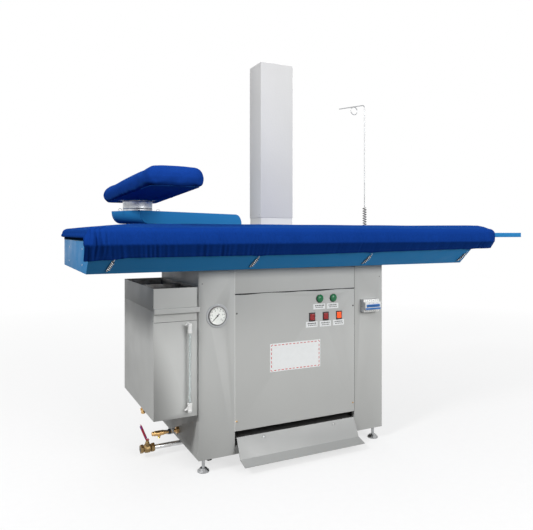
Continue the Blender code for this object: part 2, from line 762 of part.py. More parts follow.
def top_frame():
    """Steel ring under the tray, with a flat ledge all round."""
    ledge = TOP_FRAME_LEDGE
    wall = TOP_FRAME_THICKNESS
    bottom = PANEL_TOP - TOP_FRAME_HEIGHT
    front = INNER_FRONT + COLUMN_RETURN
    frame = box("top_frame", (INNER_LEFT, front, bottom), (INNER_RIGHT, INNER_BACK, PANEL_TOP))
    wide_low = (INNER_LEFT + wall, front + wall, bottom - OVERRUN)
    wide_high = (INNER_RIGHT - wall, INNER_BACK - wall, PANEL_TOP - wall)
    cut(frame, box("wide", wide_low, wide_high))
    mouth_low = (INNER_LEFT + ledge, front + ledge, bottom)
    mouth_high = (INNER_RIGHT - ledge, INNER_BACK - ledge, PANEL_TOP + OVERRUN)
    return cut(frame, box("mouth", mouth_low, mouth_high))


# Feet and casters

def foot_places():
    """Places of the four levelling feet, front left first."""
    far_x = CABINET_WIDTH - FOOT_INSET
    far_y = CABINET_DEPTH - FOOT_INSET
    return [(FOOT_INSET, FOOT_INSET), (far_x, FOOT_INSET), (FOOT_INSET, far_y), (far_x, far_y)]


def caster_places(front):
    """Places of the two front or the two rear casters."""
    y = CASTER_Y if front else CABINET_DEPTH - CASTER_Y
    return [(CASTER_X, y), (CABINET_WIDTH - CASTER_X, y)]


def feet():
    """Four levelling feet, each a pad with a lock nut on a threaded stud."""
    sides = ("front_left", "front_right", "rear_left", "rear_right")
    nut_top = BASE_FLOOR - BASE_THICKNESS - FIT_GAP
    for side, (x, y) in zip(sides, foot_places()):
        profile = (
            (0, 0),
            (FOOT_PAD_RADIUS, 0),
            (FOOT_PAD_RADIUS, FOOT_PAD_HEIGHT / 3),
            (FOOT_STUD_RADIUS * 2, FOOT_PAD_HEIGHT),
            (FOOT_STUD_RADIUS, FOOT_PAD_HEIGHT),
            (FOOT_STUD_RADIUS, nut_top - FOOT_STUD_RADIUS),
            (FOOT_STUD_RADIUS * 2, nut_top - FOOT_STUD_RADIUS),
            (FOOT_STUD_RADIUS * 2, nut_top),
            (FOOT_STUD_RADIUS, nut_top),
            (FOOT_STUD_RADIUS, BASE_FLOOR + FOOT_TRAVEL + FOOT_STUD_RADIUS),
            (0, BASE_FLOOR + FOOT_TRAVEL + FOOT_STUD_RADIUS),
        )
        foot = turned("foot_" + side, profile, (x, y, 0), BLACK_PLASTIC, sides=SMALL_SIDES)
        hang_on(foot, (x, y, 0))


def caster_fork_solid(name, x, y, top, stem):
    """Fork with a crown, two cheeks, an axle pin and, above, a stem."""
    half = WHEEL_WIDTH / 2 + RUNNING_GAP
    outer = half + FORK_PLATE
    crown_bottom = AXLE_Z + WHEEL_RADIUS + RUNNING_GAP * 4
    axle_y = y + CASTER_TRAIL
    crown_low = (x - outer, y - FORK_CROWN_RADIUS, crown_bottom)
    fork = box(name, crown_low, (x + outer, axle_y + FORK_LENGTH / 2, top), ZINC)
    for side in (-1, 1):
        near = x + side * half
        far = x + side * outer
        low = (min(near, far), axle_y - FORK_LENGTH / 2, AXLE_Z - AXLE_RADIUS * 2)
        weld(fork, box("cheek", low, (max(near, far), axle_y + FORK_LENGTH / 2, top - FORK_PLATE), ZINC))
    axle_start = (x - outer - FORK_PLATE, axle_y, AXLE_Z)
    axle_end = (x + outer + FORK_PLATE, axle_y, AXLE_Z)
    weld(fork, rod("axle", axle_start, axle_end, AXLE_RADIUS))
    if stem:
        weld(fork, rod("stem", (x, y, top - FORK_PLATE), (x, y, top + stem), CASTER_STEM_RADIUS))
    return fork


def casters():
    """Two swivelling forks at the front and a wheel in each of the four forks."""
    stem = BASE_THICKNESS + FIT_GAP + CASTER_STEM_RADIUS
    for side, (x, y) in zip(("left", "right"), caster_places(front=True)):
        fork = caster_fork_solid("caster_fork_" + side, x, y, FORK_TOP, stem)
        hang_on(fork, (x, y, FORK_TOP))
    half = WHEEL_WIDTH / 2
    bore = AXLE_RADIUS + FIT_GAP
    profile = (
        (bore, -half),
        (WHEEL_RADIUS - FORK_PLATE, -half),
        (WHEEL_RADIUS, -half / 2),
        (WHEEL_RADIUS, half / 2),
        (WHEEL_RADIUS - FORK_PLATE, half),
        (bore, half),
    )
    for row, front in (("front", True), ("rear", False)):
        for side, (x, y) in zip(("left", "right"), caster_places(front)):
            centre = (x, y + CASTER_TRAIL, AXLE_Z)
            wheel = turned("caster_wheel_%s_%s" % (row, side), profile, centre, BLACK_RUBBER, (1, 0, 0))
            hang_on(wheel, centre)


# Vacuum tray and table top

def tray_section(inset, rim):
    """Tray's cross-section in y and z, drawn in by inset and open up to rim."""
    slope = math.atan2(TRAY_SLANT_TOP - CABINET_TOP, TRAY_SLANT_FOOT - TRAY_FRONT)
    shift = inset * math.tan(slope / 2)
    rise = inset * math.tan((math.pi / 2 - slope) / 2)
    return [
        (TRAY_FRONT + inset, rim),
        (TRAY_FRONT + inset, TRAY_SLANT_TOP + rise),
        (TRAY_SLANT_FOOT + shift, CABINET_TOP + inset),
        (TRAY_BACK - inset, CABINET_TOP + inset),
        (TRAY_BACK - inset, rim),
    ]


def tray():
    """Vacuum tray with a slanted front underside and an outlet over the fan."""
    made = prism("tray", tray_section(0, TRAY_RIM), 0, TRAY_LEFT, TRAY_RIGHT, TEAL_PAINT)
    wall = TRAY_WALL
    inner = tray_section(wall, TRAY_RIM + OVERRUN)
    cut(made, prism("hollow", inner, 0, TRAY_LEFT + wall, TRAY_RIGHT - wall))
    start = (FAN_X, FAN_Y, CABINET_TOP - OVERRUN)
    end = (FAN_X, FAN_Y, CABINET_TOP + OVERRUN)
    return cut(made, rod("outlet", start, end, TRAY_OUTLET_RADIUS, sides=ROUND_SIDES))


def perforated_plate():
    """Steel plate on the tray's rim, reaching past it at the right end."""
    bottom = TRAY_RIM + FIT_GAP
    low = (TRAY_LEFT + PLATE_INSET, TRAY_FRONT + PLATE_INSET)
    high = (PLATE_RIGHT, TRAY_BACK - PLATE_INSET)
    nose = PAD_RIGHT_CORNER - PAD_EDGE
    corners = (PLATE_INSET, nose, nose, PLATE_INSET)
    plate = prism("perforated_plate", rounded_rectangle(low, high, corners), 2, bottom, PLATE_TOP, ZINC)
    pitch_x = (TRAY_RIGHT - TRAY_LEFT) / PLATE_HOLE_COLUMNS
    pitch_y = (TRAY_BACK - TRAY_FRONT) / PLATE_HOLE_ROWS
    for column in range(PLATE_HOLE_COLUMNS):
        for row in range(PLATE_HOLE_ROWS):
            x = TRAY_LEFT + (column + 1 / 2) * pitch_x
            y = TRAY_FRONT + (row + 1 / 2) * pitch_y
            start = (x, y, bottom - OVERRUN)
            cut(plate, rod("hole", start, (x, y, PLATE_TOP + OVERRUN), PLATE_HOLE_RADIUS, sides=8))
    return plate


def pad_plan(inset, steps=6):
    """Cover's outline, drawn in by inset, with points along its long sides."""
    low = (TRAY_LEFT - FIT_GAP - PAD_EDGE + inset, TRAY_FRONT - FIT_GAP - PAD_EDGE + inset)
    high = (PLATE_RIGHT + FIT_GAP + PAD_EDGE - inset, TRAY_BACK + FIT_GAP + PAD_EDGE - inset)
    left = min(FIT_GAP + abs(PAD_EDGE - inset), PAD_SHOULDER)
    right = max(PAD_RIGHT_CORNER - inset, PAD_RIGHT_CORNER / 4)
    corners = rounded_rectangle(low, high, (left, right, right, left), steps)
    outline = []
    for index, point in enumerate(corners):
        after = corners[(index + 1) % len(corners)]
        outline.append(point)
        if index % (steps + 1) == steps:
            parts = 12 if index // (steps + 1) in (0, 2) else 6
            for part in range(1, parts):
                share = part / parts
                outline.append(tuple(a + (b - a) * share for a, b in zip(point, after)))
    return outline


def hem_height(x, y):
    """Height of the cover's hem: low in front, higher at the back and left end."""
    along = min(max((x - TRAY_LEFT) / HEM_DROOP_LENGTH, 0), 1)
    across = min(max((y - TRAY_FRONT) / (TRAY_BACK - TRAY_FRONT), 0), 1)
    side = HEM_FRONT + (HEM_BACK - HEM_FRONT) * across
    middle = CABINET_WIDTH / 2
    side += HEM_RIGHT_RISE * (1 - across) * min(max((x - middle) / (TRAY_RIGHT - middle), 0), 1)
    if x < TRAY_LEFT and TRAY_FRONT + PAD_EDGE < y < TRAY_BACK - PAD_EDGE:
        return HEM_LEFT
    return side - HEM_DROOP * (1 - along) * (1 - across)


def skirt_point(x, y, z):
    """A point of the skirt, tucked in under the tray's edge along its slanted front."""
    slope = (TRAY_SLANT_FOOT - TRAY_FRONT) / (TRAY_SLANT_TOP - CABINET_TOP)
    front = 1 - min(max((y - TRAY_FRONT) / PAD_RIGHT_CORNER, 0), 1)
    return (x, y + max(TRAY_SLANT_TOP - z, 0) * slope * front, z)


def crease_height(x, y, belly):
    """Height of the crease where the skirt turns in under the tray's edge."""
    low = hem_height(x, y)
    return max(TRAY_SLANT_TOP, low + (belly - low) / 2)


def table_pad():
    """Padded cover: crowned top, round shoulder and a skirt tucked in round the tray."""
    shape = bmesh.new()
    top = PLATE_TOP + FIT_GAP + PAD_THICKNESS
    rings = []
    inner_edge = PAD_EDGE
    belly = []
    for x, y in pad_plan(0):
        low = hem_height(x, y)
        belly.append((x, y, low + (top - PAD_SHOULDER - low) * BELLY_SHARE))
    creases = []
    for inset in (inner_edge, 0):
        plan = zip(pad_plan(inset), belly)
        creases.append([(x, y, crease_height(x, y, wide[2])) for (x, y), wide in plan])
    rings.append(creases[0])
    for inset in (inner_edge, 0):
        rings.append([skirt_point(x, y, hem_height(x, y)) for x, y in pad_plan(inset)])
    rings.append(creases[1])
    rings.append(belly)
    for share in (0,) + SHOULDER_SHARES:
        angle = math.pi / 2 * share
        inset = PAD_SHOULDER * (1 - math.cos(angle))
        height = top - PAD_SHOULDER * (1 - math.sin(angle))
        rings.append([(x, y, height) for x, y in pad_plan(inset)])
    crown_steps = 3
    for step in range(1, crown_steps + 1):
        share = step / crown_steps
        inset = PAD_SHOULDER + (TRAY_BACK - TRAY_FRONT) / 3 * share
        height = top + PAD_CROWN * math.sin(math.pi / 2 * share)
        rings.append([(x, y, height) for x, y in pad_plan(inset)])
    ceiling = [(x, y, PLATE_TOP + FIT_GAP) for x, y in pad_plan(inner_edge)]
    loops = [[shape.verts.new(point) for point in ring] for ring in [ceiling] + rings]
    for first, second in zip(loops, loops[1:]):
        bridge(shape, first, second)
    shape.faces.new(loops[0])
    shape.faces.new(list(reversed(loops[-1])))
    made = add_object("table_pad", shape, BLUE_CLOTH)
    for y in rest_bar_places():
        half = REST_BAR_WIDTH / 2 + FIT_GAP
        low = (PLATE_RIGHT - PAD_EDGE, y - half, TRAY_RIM - REST_BAR_THICKNESS - FIT_GAP)
        cut(made, box("slit", low, (REST_RIGHT, y + half, TRAY_RIM + FIT_GAP / 2)))
    smooth(made)
    return made


def least_gap(points, radius, skip):
    """Least clear distance between stretches of a round wire, over skip points apart."""
    gap = math.inf
    for index, point in enumerate(points):
        for other in points[index + skip:]:
            gap = min(gap, (Vector(point) - Vector(other)).length - 2 * radius)
    return gap


def coil_points(start, end, radius, curls, last_radius=None):
    """Points of a coil from start to end, whose last curl draws in to last_radius."""
    start = Vector(start)
    axis = (Vector(end) - start).normalized()
    side = axis.orthogonal().normalized()
    over = axis.cross(side)
    reach = (Vector(end) - start).length
    points = []
    total = curls * CURL_POINTS
    for index in range(total + 1):
        angle = 2 * math.pi * index / CURL_POINTS
        swing = side * math.cos(angle) + over * math.sin(angle)
        drawn = max(0, index - (total - CURL_POINTS)) / CURL_POINTS
        size = radius if last_radius is None else radius + (last_radius - radius) * drawn
        points.append(start + axis * (reach * index / total) + swing * size)
    return points


def cover_springs():
    """Tension springs from the cover's hem down to the tray's lower edge."""
    slant = Vector((0, TRAY_SLANT_FOOT - TRAY_FRONT, CABINET_TOP - TRAY_SLANT_TOP))
    out = Vector((0, slant.z, -slant.y)).normalized()
    clear = COVER_SPRING_RADIUS + COVER_SPRING_WIRE + FIT_GAP
    touch = COVER_SPRING_WIRE + FIT_GAP
    for number, share in enumerate(COVER_SPRING_PLACE_SHARES, 1):
        x = TRAY_LEFT + (TRAY_RIGHT - TRAY_LEFT) * share
        corner = Vector((x, TRAY_FRONT, TRAY_SLANT_TOP))
        hem = corner + slant * HOOK_START_SHARE + out * clear
        foot = corner + slant * HOOK_END_SHARE + out * clear - Vector((COVER_SPRING_LEAN, 0, 0))
        lead = (foot - hem).normalized() * COVER_SPRING_RADIUS * 2
        points = [hem - lead, hem - lead / 2]
        points += coil_points(hem, foot, COVER_SPRING_RADIUS, COVER_SPRING_CURLS)
        points += [foot + lead / 2, foot + lead - out * (clear - touch)]
        name = "cover_spring_%d" % number
        as_mesh(wire(name, points, COVER_SPRING_WIRE, ZINC))
        report_gap(name, points, COVER_SPRING_WIRE)


def report_gap(name, points, radius):
    """Print a coil's least gap to itself."""
    gap = least_gap(points, radius, CURL_POINTS // 2 + 1)
    print(name, "least gap to itself", round(gap / MM, 2), "mm")


def iron_rest():
    """Shallow open tray for the iron, beyond the table's right end."""
    left = PLATE_RIGHT + FIT_GAP + PAD_EDGE + FIT_GAP
    bottom = PLATE_TOP - REST_HEIGHT
    rest = box("iron_rest", (left, REST_FRONT, bottom), (REST_RIGHT, REST_BACK, PLATE_TOP), TEAL_PAINT)
    low = (left + REST_WALL, REST_FRONT + REST_WALL, bottom + REST_WALL)
    high = (REST_RIGHT - REST_WALL, REST_BACK - REST_WALL, PLATE_TOP + OVERRUN)
    cut(rest, box("hollow", low, high))
    for y in rest_bar_places():
        bar_low = (TRAY_RIGHT + FIT_GAP, y - REST_BAR_WIDTH / 2, TRAY_RIM - REST_BAR_THICKNESS)
        bar_high = (left + REST_WALL / 2, y + REST_BAR_WIDTH / 2, TRAY_RIM)
        weld(rest, box("bar", bar_low, bar_high))
    return rest


def rest_bar_places():
    """Y of the two flat bars that carry the iron rest."""
    return [REST_FRONT + REST_BAR_INSET, REST_BACK - REST_BAR_INSET]


# Water tank

def tank_box(name, bottom, top, closed, inset=0):
    """Box of the tank's plan, hollow and open at the top, closed below or not."""
    left = TANK_RIGHT - TANK_WIDTH + inset
    low = (left, TANK_FRONT + inset, bottom)
    made = box(name, low, (TANK_RIGHT, TANK_BACK - inset, top))
    floor = bottom + TANK_WALL if closed else bottom - OVERRUN
    hollow_low = (left + TANK_WALL, TANK_FRONT + inset + TANK_WALL, floor)
    hollow_high = (TANK_RIGHT - TANK_WALL, TANK_BACK - inset - TANK_WALL, top + OVERRUN)
    return cut(made, box("hollow", hollow_low, hollow_high))


def tank():
    """Water tank, its collar and the strap across its front."""
    body = tank_box("tank_body", TANK_BOTTOM, TANK_SEAM - FIT_GAP, closed=True)
    for z in (SIGHT_BOTTOM, SIGHT_TOP):
        start = (SIGHT_X, TANK_FRONT - OVERRUN, z)
        cut(body, rod("hole", start, (SIGHT_X, TANK_FRONT + OVERRUN, z), SIGHT_RADIUS + FIT_GAP))
    hole = (DRAIN_X, DRAIN_Y, TANK_BOTTOM - OVERRUN)
    cut(body, rod("hole", hole, (DRAIN_X, DRAIN_Y, TANK_BOTTOM + OVERRUN), SIGHT_RADIUS + FIT_GAP))
    tank_box("tank_collar", TANK_SEAM, TANK_TOP, closed=False)
    left = TANK_RIGHT - TANK_WIDTH
    front = -FIT_GAP - STRAP_PROUD
    low = (left, front, STRAP_BOTTOM)
    strap = box("tank_strap", low, (TANK_RIGHT, TANK_FRONT - FIT_GAP, STRAP_BOTTOM + STRAP_HEIGHT))
    tab_low = (TANK_RIGHT - STRAP_REACH, front, STRAP_BOTTOM)
    tab_high = (STRAP_REACH, -FIT_GAP, STRAP_BOTTOM + STRAP_HEIGHT)
    weld(strap, box("tab", tab_low, tab_high))
    return body


def sight_gauge():
    """Clear level tube between two elbow fittings on the tank's front."""
    tube_y = TANK_FRONT - SIGHT_STANDOFF
    bore = SIGHT_RADIUS + FIT_GAP
    inner = SIGHT_RADIUS - SHEET
    bottom = SIGHT_BOTTOM + FIT_GAP
    pipe("sight_tube", (SIGHT_X, tube_y, bottom), (SIGHT_X, tube_y, SIGHT_TOP - FIT_GAP),
         SIGHT_RADIUS, SHEET, CLEAR_TUBE, SMALL_SIDES)
    for name, z, way in (("sight_fitting_bottom", SIGHT_BOTTOM, 1), ("sight_fitting_top", SIGHT_TOP, -1)):
        fitting = rod(name, (SIGHT_X, tube_y, z - way * FITTING_RADIUS),
                      (SIGHT_X, tube_y, z + way * FITTING_LENGTH), FITTING_RADIUS, WHITE_PLASTIC)
        weld(fitting, rod("elbow", (SIGHT_X, tube_y, z), (SIGHT_X, TANK_FRONT - FIT_GAP, z), FITTING_RADIUS))
        weld(fitting, rod("spigot", (SIGHT_X, tube_y, z), (SIGHT_X, TANK_FRONT + OVERRUN, z), SIGHT_RADIUS))
        cut(fitting, rod("socket", (SIGHT_X, tube_y, z), (SIGHT_X, tube_y, z + way * 2 * FITTING_LENGTH), bore))
        cut(fitting, rod("bore", (SIGHT_X, tube_y, z), (SIGHT_X, TANK_FRONT + 2 * OVERRUN, z), inner))


def float_arm():
    """Float ball on its arm, hinged inside the tank's front wall."""
    x = TANK_RIGHT - TANK_WIDTH / 2
    hinge_y = TANK_FRONT + TANK_WALL + FIT_GAP + FITTING_RADIUS
    hinge = (x, hinge_y, FLOAT_HINGE_Z)
    ball_y = hinge_y + FLOAT_ARM_LENGTH
    steps = 8
    profile = []
    for index in range(steps + 1):
        angle = math.pi * index / steps
        radius = FLOAT_RADIUS * math.sin(angle)
        profile.append((radius if 0 < index < steps else 0, -FLOAT_RADIUS * math.cos(angle)))
    ball = turned("float_arm", profile, (x, ball_y, FLOAT_HINGE_Z), WHITE_PLASTIC, sides=SMALL_SIDES)
    weld(ball, rod("arm", hinge, (x, ball_y - FLOAT_RADIUS / 2, FLOAT_HINGE_Z), FLOAT_ROD_RADIUS, BRASS))
    half = FITTING_RADIUS
    start = (x - half, hinge_y, FLOAT_HINGE_Z)
    weld(ball, rod("eye", start, (x + half, hinge_y, FLOAT_HINGE_Z), FITTING_RADIUS, BRASS))
    hang_on(ball, hinge)
    return ball


# Gauge, lamps, switches and breaker

def gauge():
    """Pressure gauge with a flange on the column and a turning needle."""
    profile = (
        (0, -GAUGE_BODY_DEPTH),
        (GAUGE_BODY_RADIUS, -GAUGE_BODY_DEPTH),
        (GAUGE_BODY_RADIUS, FIT_GAP),
        (GAUGE_FLANGE_RADIUS, FIT_GAP),
        (GAUGE_FLANGE_RADIUS, FIT_GAP + GAUGE_FLANGE_THICKNESS),
        (GAUGE_BODY_RADIUS + SHEET, FIT_GAP + GAUGE_FLANGE_THICKNESS),
        (GAUGE_BODY_RADIUS, GAUGE_PROUD),
        (GAUGE_DIAL_RADIUS, GAUGE_PROUD),
        (GAUGE_DIAL_RADIUS, GAUGE_PROUD - GAUGE_DIAL_DEPTH),
        (0, GAUGE_PROUD - GAUGE_DIAL_DEPTH),
    )
    centre = Vector((GAUGE_X, 0, GAUGE_Z))
    turned("gauge_case", profile, centre, ZINC, (0, -1, 0))
    face = -(GAUGE_PROUD - GAUGE_DIAL_DEPTH + FIT_GAP)
    back = face - NEEDLE_THICKNESS
    half = NEEDLE_HUB_RADIUS / 2
    outline = [(-half, -NEEDLE_TAIL), (half, -NEEDLE_TAIL), (half / 4, NEEDLE_REACH), (-half / 4, NEEDLE_REACH)]
    turn = Matrix.Rotation(NEEDLE_REST_ANGLE, 2)
    turned_outline = [tuple(turn @ Vector(pair)) for pair in outline]
    placed = [(GAUGE_X + x, GAUGE_Z + z) for x, z in turned_outline]
    needle = prism("gauge_needle", placed, 1, face, back, BLACK_PLASTIC)
    hub_start = (GAUGE_X, face, GAUGE_Z)
    weld(needle, rod("hub", hub_start, (GAUGE_X, back - NEEDLE_THICKNESS, GAUGE_Z), NEEDLE_HUB_RADIUS))
    hang_on(needle, (GAUGE_X, face, GAUGE_Z))


def lamps():
    """Two pilot lamps: a collar on the cover and a domed lens."""
    profile = (
        (0, -LAMP_BODY_DEPTH),
        (LAMP_BODY_RADIUS, -LAMP_BODY_DEPTH),
        (LAMP_BODY_RADIUS, FIT_GAP),
        (LAMP_RADIUS, FIT_GAP),
        (LAMP_RADIUS, LAMP_PROUD / 3),
        (LAMP_BODY_RADIUS, LAMP_PROUD / 2),
        (LAMP_BODY_RADIUS, LAMP_PROUD * 2 / 3),
        (LAMP_BODY_RADIUS / 2, LAMP_PROUD),
        (0, LAMP_PROUD),
    )
    for side, x in zip(("left", "right"), LAMP_PLACES):
        turned("lamp_" + side, profile, (x, 0, LAMP_Z), GREEN_LENS, (0, -1, 0), SMALL_SIDES)


def rockers():
    """Three rocker switches, each bored for the cover's stub pins."""
    half = ROCKER_HEIGHT / 2
    front = -ROCKER_PROUD - ROCKER_PIVOT_DEPTH
    back = ROCKER_DEPTH - ROCKER_PIVOT_DEPTH
    level = [
        (front, -half),
        (front + ROCKER_DISH, 0),
        (front, half),
        (back / 2, half),
        (back, half / 2),
        (back, -half / 2),
        (back / 2, -half),
    ]
    lean = Matrix.Rotation(-ROCKER_TILT, 2)
    outline = []
    for pair in level:
        leant = lean @ Vector(pair)
        outline.append((ROCKER_PIVOT_DEPTH + leant.x, ROCKER_Z + leant.y))
    for number, x in enumerate(ROCKER_PLACES, 1):
        start = x - ROCKER_WIDTH / 2
        rocker = prism("switch_rocker_%d" % number, outline, 0, start, start + ROCKER_WIDTH, RED_PLASTIC)
        bore_start = (start - OVERRUN, ROCKER_PIVOT_DEPTH, ROCKER_Z)
        bore_end = (start + ROCKER_WIDTH + OVERRUN, ROCKER_PIVOT_DEPTH, ROCKER_Z)
        cut(rocker, rod("bore", bore_start, bore_end, ROCKER_PIN_RADIUS + FIT_GAP))
        hang_on(rocker, (x, ROCKER_PIVOT_DEPTH, ROCKER_Z))


def breaker_left():
    """X of the breaker's left side."""
    return BREAKER_X - BREAKER_WIDTH / 2


def breaker():
    """Circuit breaker through the right column, with its handle bar."""
    left = breaker_left()
    half = BREAKER_HEIGHT / 2
    nose_half = BREAKER_NOSE_HEIGHT / 2
    shoulder = -BREAKER_PROUD + BREAKER_NOSE_DEPTH
    outline = [
        (BREAKER_DEPTH, BREAKER_Z - half),
        (shoulder, BREAKER_Z - half),
        (shoulder, BREAKER_Z - nose_half),
        (-BREAKER_PROUD, BREAKER_Z - nose_half),
        (-BREAKER_PROUD, BREAKER_Z + nose_half),
        (shoulder, BREAKER_Z + nose_half),
        (shoulder, BREAKER_Z + half),
        (BREAKER_DEPTH, BREAKER_Z + half),
    ]
    case = prism("breaker_case", outline, 0, left, left + BREAKER_WIDTH, WHITE_PLASTIC)
    axis_y = -BREAKER_PROUD + TOGGLE_RADIUS / 2
    slot_half = TOGGLE_WIDTH / 2 + FIT_GAP
    slot_start = (BREAKER_X - slot_half, axis_y, BREAKER_Z)
    slot_end = (BREAKER_X + slot_half, axis_y, BREAKER_Z)
    cut(case, rod("slot", slot_start, slot_end, TOGGLE_RADIUS + FIT_GAP))
    start = (BREAKER_X - TOGGLE_WIDTH / 2, axis_y, BREAKER_Z)
    end = (BREAKER_X + TOGGLE_WIDTH / 2, axis_y, BREAKER_Z)
    toggle = rod("breaker_toggle", start, end, TOGGLE_RADIUS, BLUE_PLASTIC)
    reach = Vector((0, -math.cos(TOGGLE_REST_ANGLE), -math.sin(TOGGLE_REST_ANGLE))) * TOGGLE_LENGTH
    side = Vector((0, -reach.z, reach.y)).normalized() * (TOGGLE_RADIUS / 3)
    corners = [side, side + reach, reach - side, -side]
    bar = [(axis_y + corner.y, BREAKER_Z + corner.z) for corner in corners]
    inset = TOGGLE_RADIUS
    weld(toggle, prism("bar", bar, 0, start[0] + inset, end[0] - inset))
    hang_on(toggle, (BREAKER_X, axis_y, BREAKER_Z))


# Pedal

def pedal():
    """Folded foot pedal on a tube that turns on the base's stub pins."""
    plate = PEDAL_PLATE
    knee = -PEDAL_PLATE
    outline = [
        (PEDAL_HINGE_Y, PEDAL_TOP_Z - plate),
        (knee, PEDAL_TOP_Z - plate),
        (PEDAL_FOLD_Y, PEDAL_FOLD_Z),
        (PEDAL_TIP_Y, PEDAL_TIP_Z),
        (PEDAL_TIP_Y, PEDAL_TIP_Z + plate),
        (PEDAL_FOLD_Y - plate, PEDAL_FOLD_Z + plate),
        (knee - plate, PEDAL_TOP_Z),
        (PEDAL_HINGE_Y, PEDAL_TOP_Z),
    ]
    inner_left = PEDAL_LEFT + PEDAL_EAR + 2 * FIT_GAP
    inner_right = PEDAL_RIGHT - PEDAL_EAR - 2 * FIT_GAP
    made = prism("pedal", outline, 0, inner_left, inner_right)
    for outer, inner in ((PEDAL_LEFT, inner_left), (PEDAL_RIGHT, inner_right)):
        front = [pair for pair in outline if pair[0] < 0]
        low = min(outer, inner + plate)
        high = max(outer, inner)
        weld(made, prism("wing", front, 0, min(low, inner - plate), max(high, inner + plate)))
    tube_start = (inner_left, PEDAL_HINGE_Y, PEDAL_HINGE_Z)
    tube_end = (inner_right, PEDAL_HINGE_Y, PEDAL_HINGE_Z)
    weld(made, rod("tube", tube_start, tube_end, PEDAL_TUBE_RADIUS + plate))
    bore_start = (inner_left - OVERRUN, PEDAL_HINGE_Y, PEDAL_HINGE_Z)
    bore_end = (inner_right + OVERRUN, PEDAL_HINGE_Y, PEDAL_HINGE_Z)
    cut(made, rod("bore", bore_start, bore_end, PEDAL_PIN_RADIUS + FIT_GAP))
    hang_on(made, (0, PEDAL_HINGE_Y, PEDAL_HINGE_Z))
    return made


# Boiler, pump, fan and duct

def fan_top():
    """Top of the fan's scroll, under the top frame."""
    return PANEL_TOP - TOP_FRAME_HEIGHT - FIT_GAP


def fan_bottom():
    """Bottom of the fan's scroll."""
    return fan_top() - FAN_HEIGHT


def fan_outlet_right():
    """X of the outlet's right side, along the scroll."""
    return FAN_X + FAN_RADIUS


def fan_outlet_left():
    """X of the outlet's left side."""
    return fan_outlet_right() - FAN_OUTLET_WIDTH


def boiler():
    """Steam boiler: a hollow drum on two saddles, open at its drain port."""
    centre_z = BASE_FLOOR + BOILER_LEG + BOILER_RADIUS
    back = BOILER_FRONT + BOILER_LENGTH
    start = (BOILER_X, BOILER_FRONT, centre_z)
    drum = rod("boiler", start, (BOILER_X, back, centre_z), BOILER_RADIUS, DARK_STEEL, ROUND_SIDES)
    half = BOILER_RADIUS / 2
    for y in (BOILER_FRONT + BOILER_LEG, back - BOILER_LEG - BOILER_LEG_WIDTH):
        low = (BOILER_X - half, y, BASE_FLOOR + FIT_GAP)
        weld(drum, box("saddle", low, (BOILER_X + half, y + BOILER_LEG_WIDTH, centre_z)))
    wall = BOILER_WALL
    inner_start = (BOILER_X, BOILER_FRONT + wall, centre_z)
    inner = rod("inner", inner_start, (BOILER_X, back - wall, centre_z), BOILER_RADIUS - wall, sides=ROUND_SIDES)
    cut(drum, inner)
    port = (BOILER_X, BLOWDOWN_Y, centre_z - BOILER_RADIUS - OVERRUN)
    return cut(drum, rod("port", port, (BOILER_X, BLOWDOWN_Y, centre_z), BLOWDOWN_PIPE_RADIUS + FIT_GAP))


def water_pump():
    """Boiler feed pump: a round body on a foot."""
    z = BASE_FLOOR + FIT_GAP + PUMP_FOOT + PUMP_RADIUS
    start = (PUMP_X, PUMP_Y - PUMP_LENGTH / 2, z)
    pump = rod("water_pump", start, (PUMP_X, PUMP_Y + PUMP_LENGTH / 2, z), PUMP_RADIUS, DARK_STEEL)
    low = (PUMP_X - PUMP_RADIUS, PUMP_Y - PUMP_RADIUS, BASE_FLOOR + FIT_GAP)
    weld(pump, box("foot", low, (PUMP_X + PUMP_RADIUS, PUMP_Y + PUMP_RADIUS, z)))
    return pump


def scroll_outline(inset, back):
    """Scroll's plan: an arc round the fan that runs into the outlet's channel."""
    radius = FAN_RADIUS - inset
    left = fan_outlet_left() + inset
    first = math.acos((left - FAN_X) / radius)
    outline = [(FAN_X + radius, back), (left, back)]
    steps = ROUND_SIDES
    for step in range(steps + 1):
        angle = first + (2 * math.pi - first) * step / steps
        outline.append((FAN_X + radius * math.cos(angle), FAN_Y + radius * math.sin(angle)))
    return outline


def fan_housing():
    """Fan scroll with an inlet neck up to the tray and an outlet through the rear panel."""
    top = fan_top()
    bottom = fan_bottom()
    wall = FAN_WALL
    housing = prism("fan_housing", scroll_outline(0, CABINET_DEPTH), 2, bottom, top, DARK_STEEL)
    neck_start = (FAN_X, FAN_Y, top - wall / 2)
    neck_end = (FAN_X, FAN_Y, CABINET_TOP - FIT_GAP)
    weld(housing, rod("neck", neck_start, neck_end, FAN_INLET_RADIUS + wall, sides=ROUND_SIDES))
    inner = scroll_outline(wall, CABINET_DEPTH + OVERRUN)
    cut(housing, prism("inner", inner, 2, bottom + wall, top - wall))
    inlet_start = (FAN_X, FAN_Y, top - OVERRUN)
    inlet_end = (FAN_X, FAN_Y, CABINET_TOP + OVERRUN)
    cut(housing, rod("inlet", inlet_start, inlet_end, FAN_INLET_RADIUS, sides=ROUND_SIDES))
    hole_start = (FAN_X, FAN_Y, bottom - OVERRUN)
    hole_end = (FAN_X, FAN_Y, bottom + OVERRUN)
    return cut(housing, rod("hole", hole_start, hole_end, SHAFT_RADIUS + 2 * RUNNING_GAP))


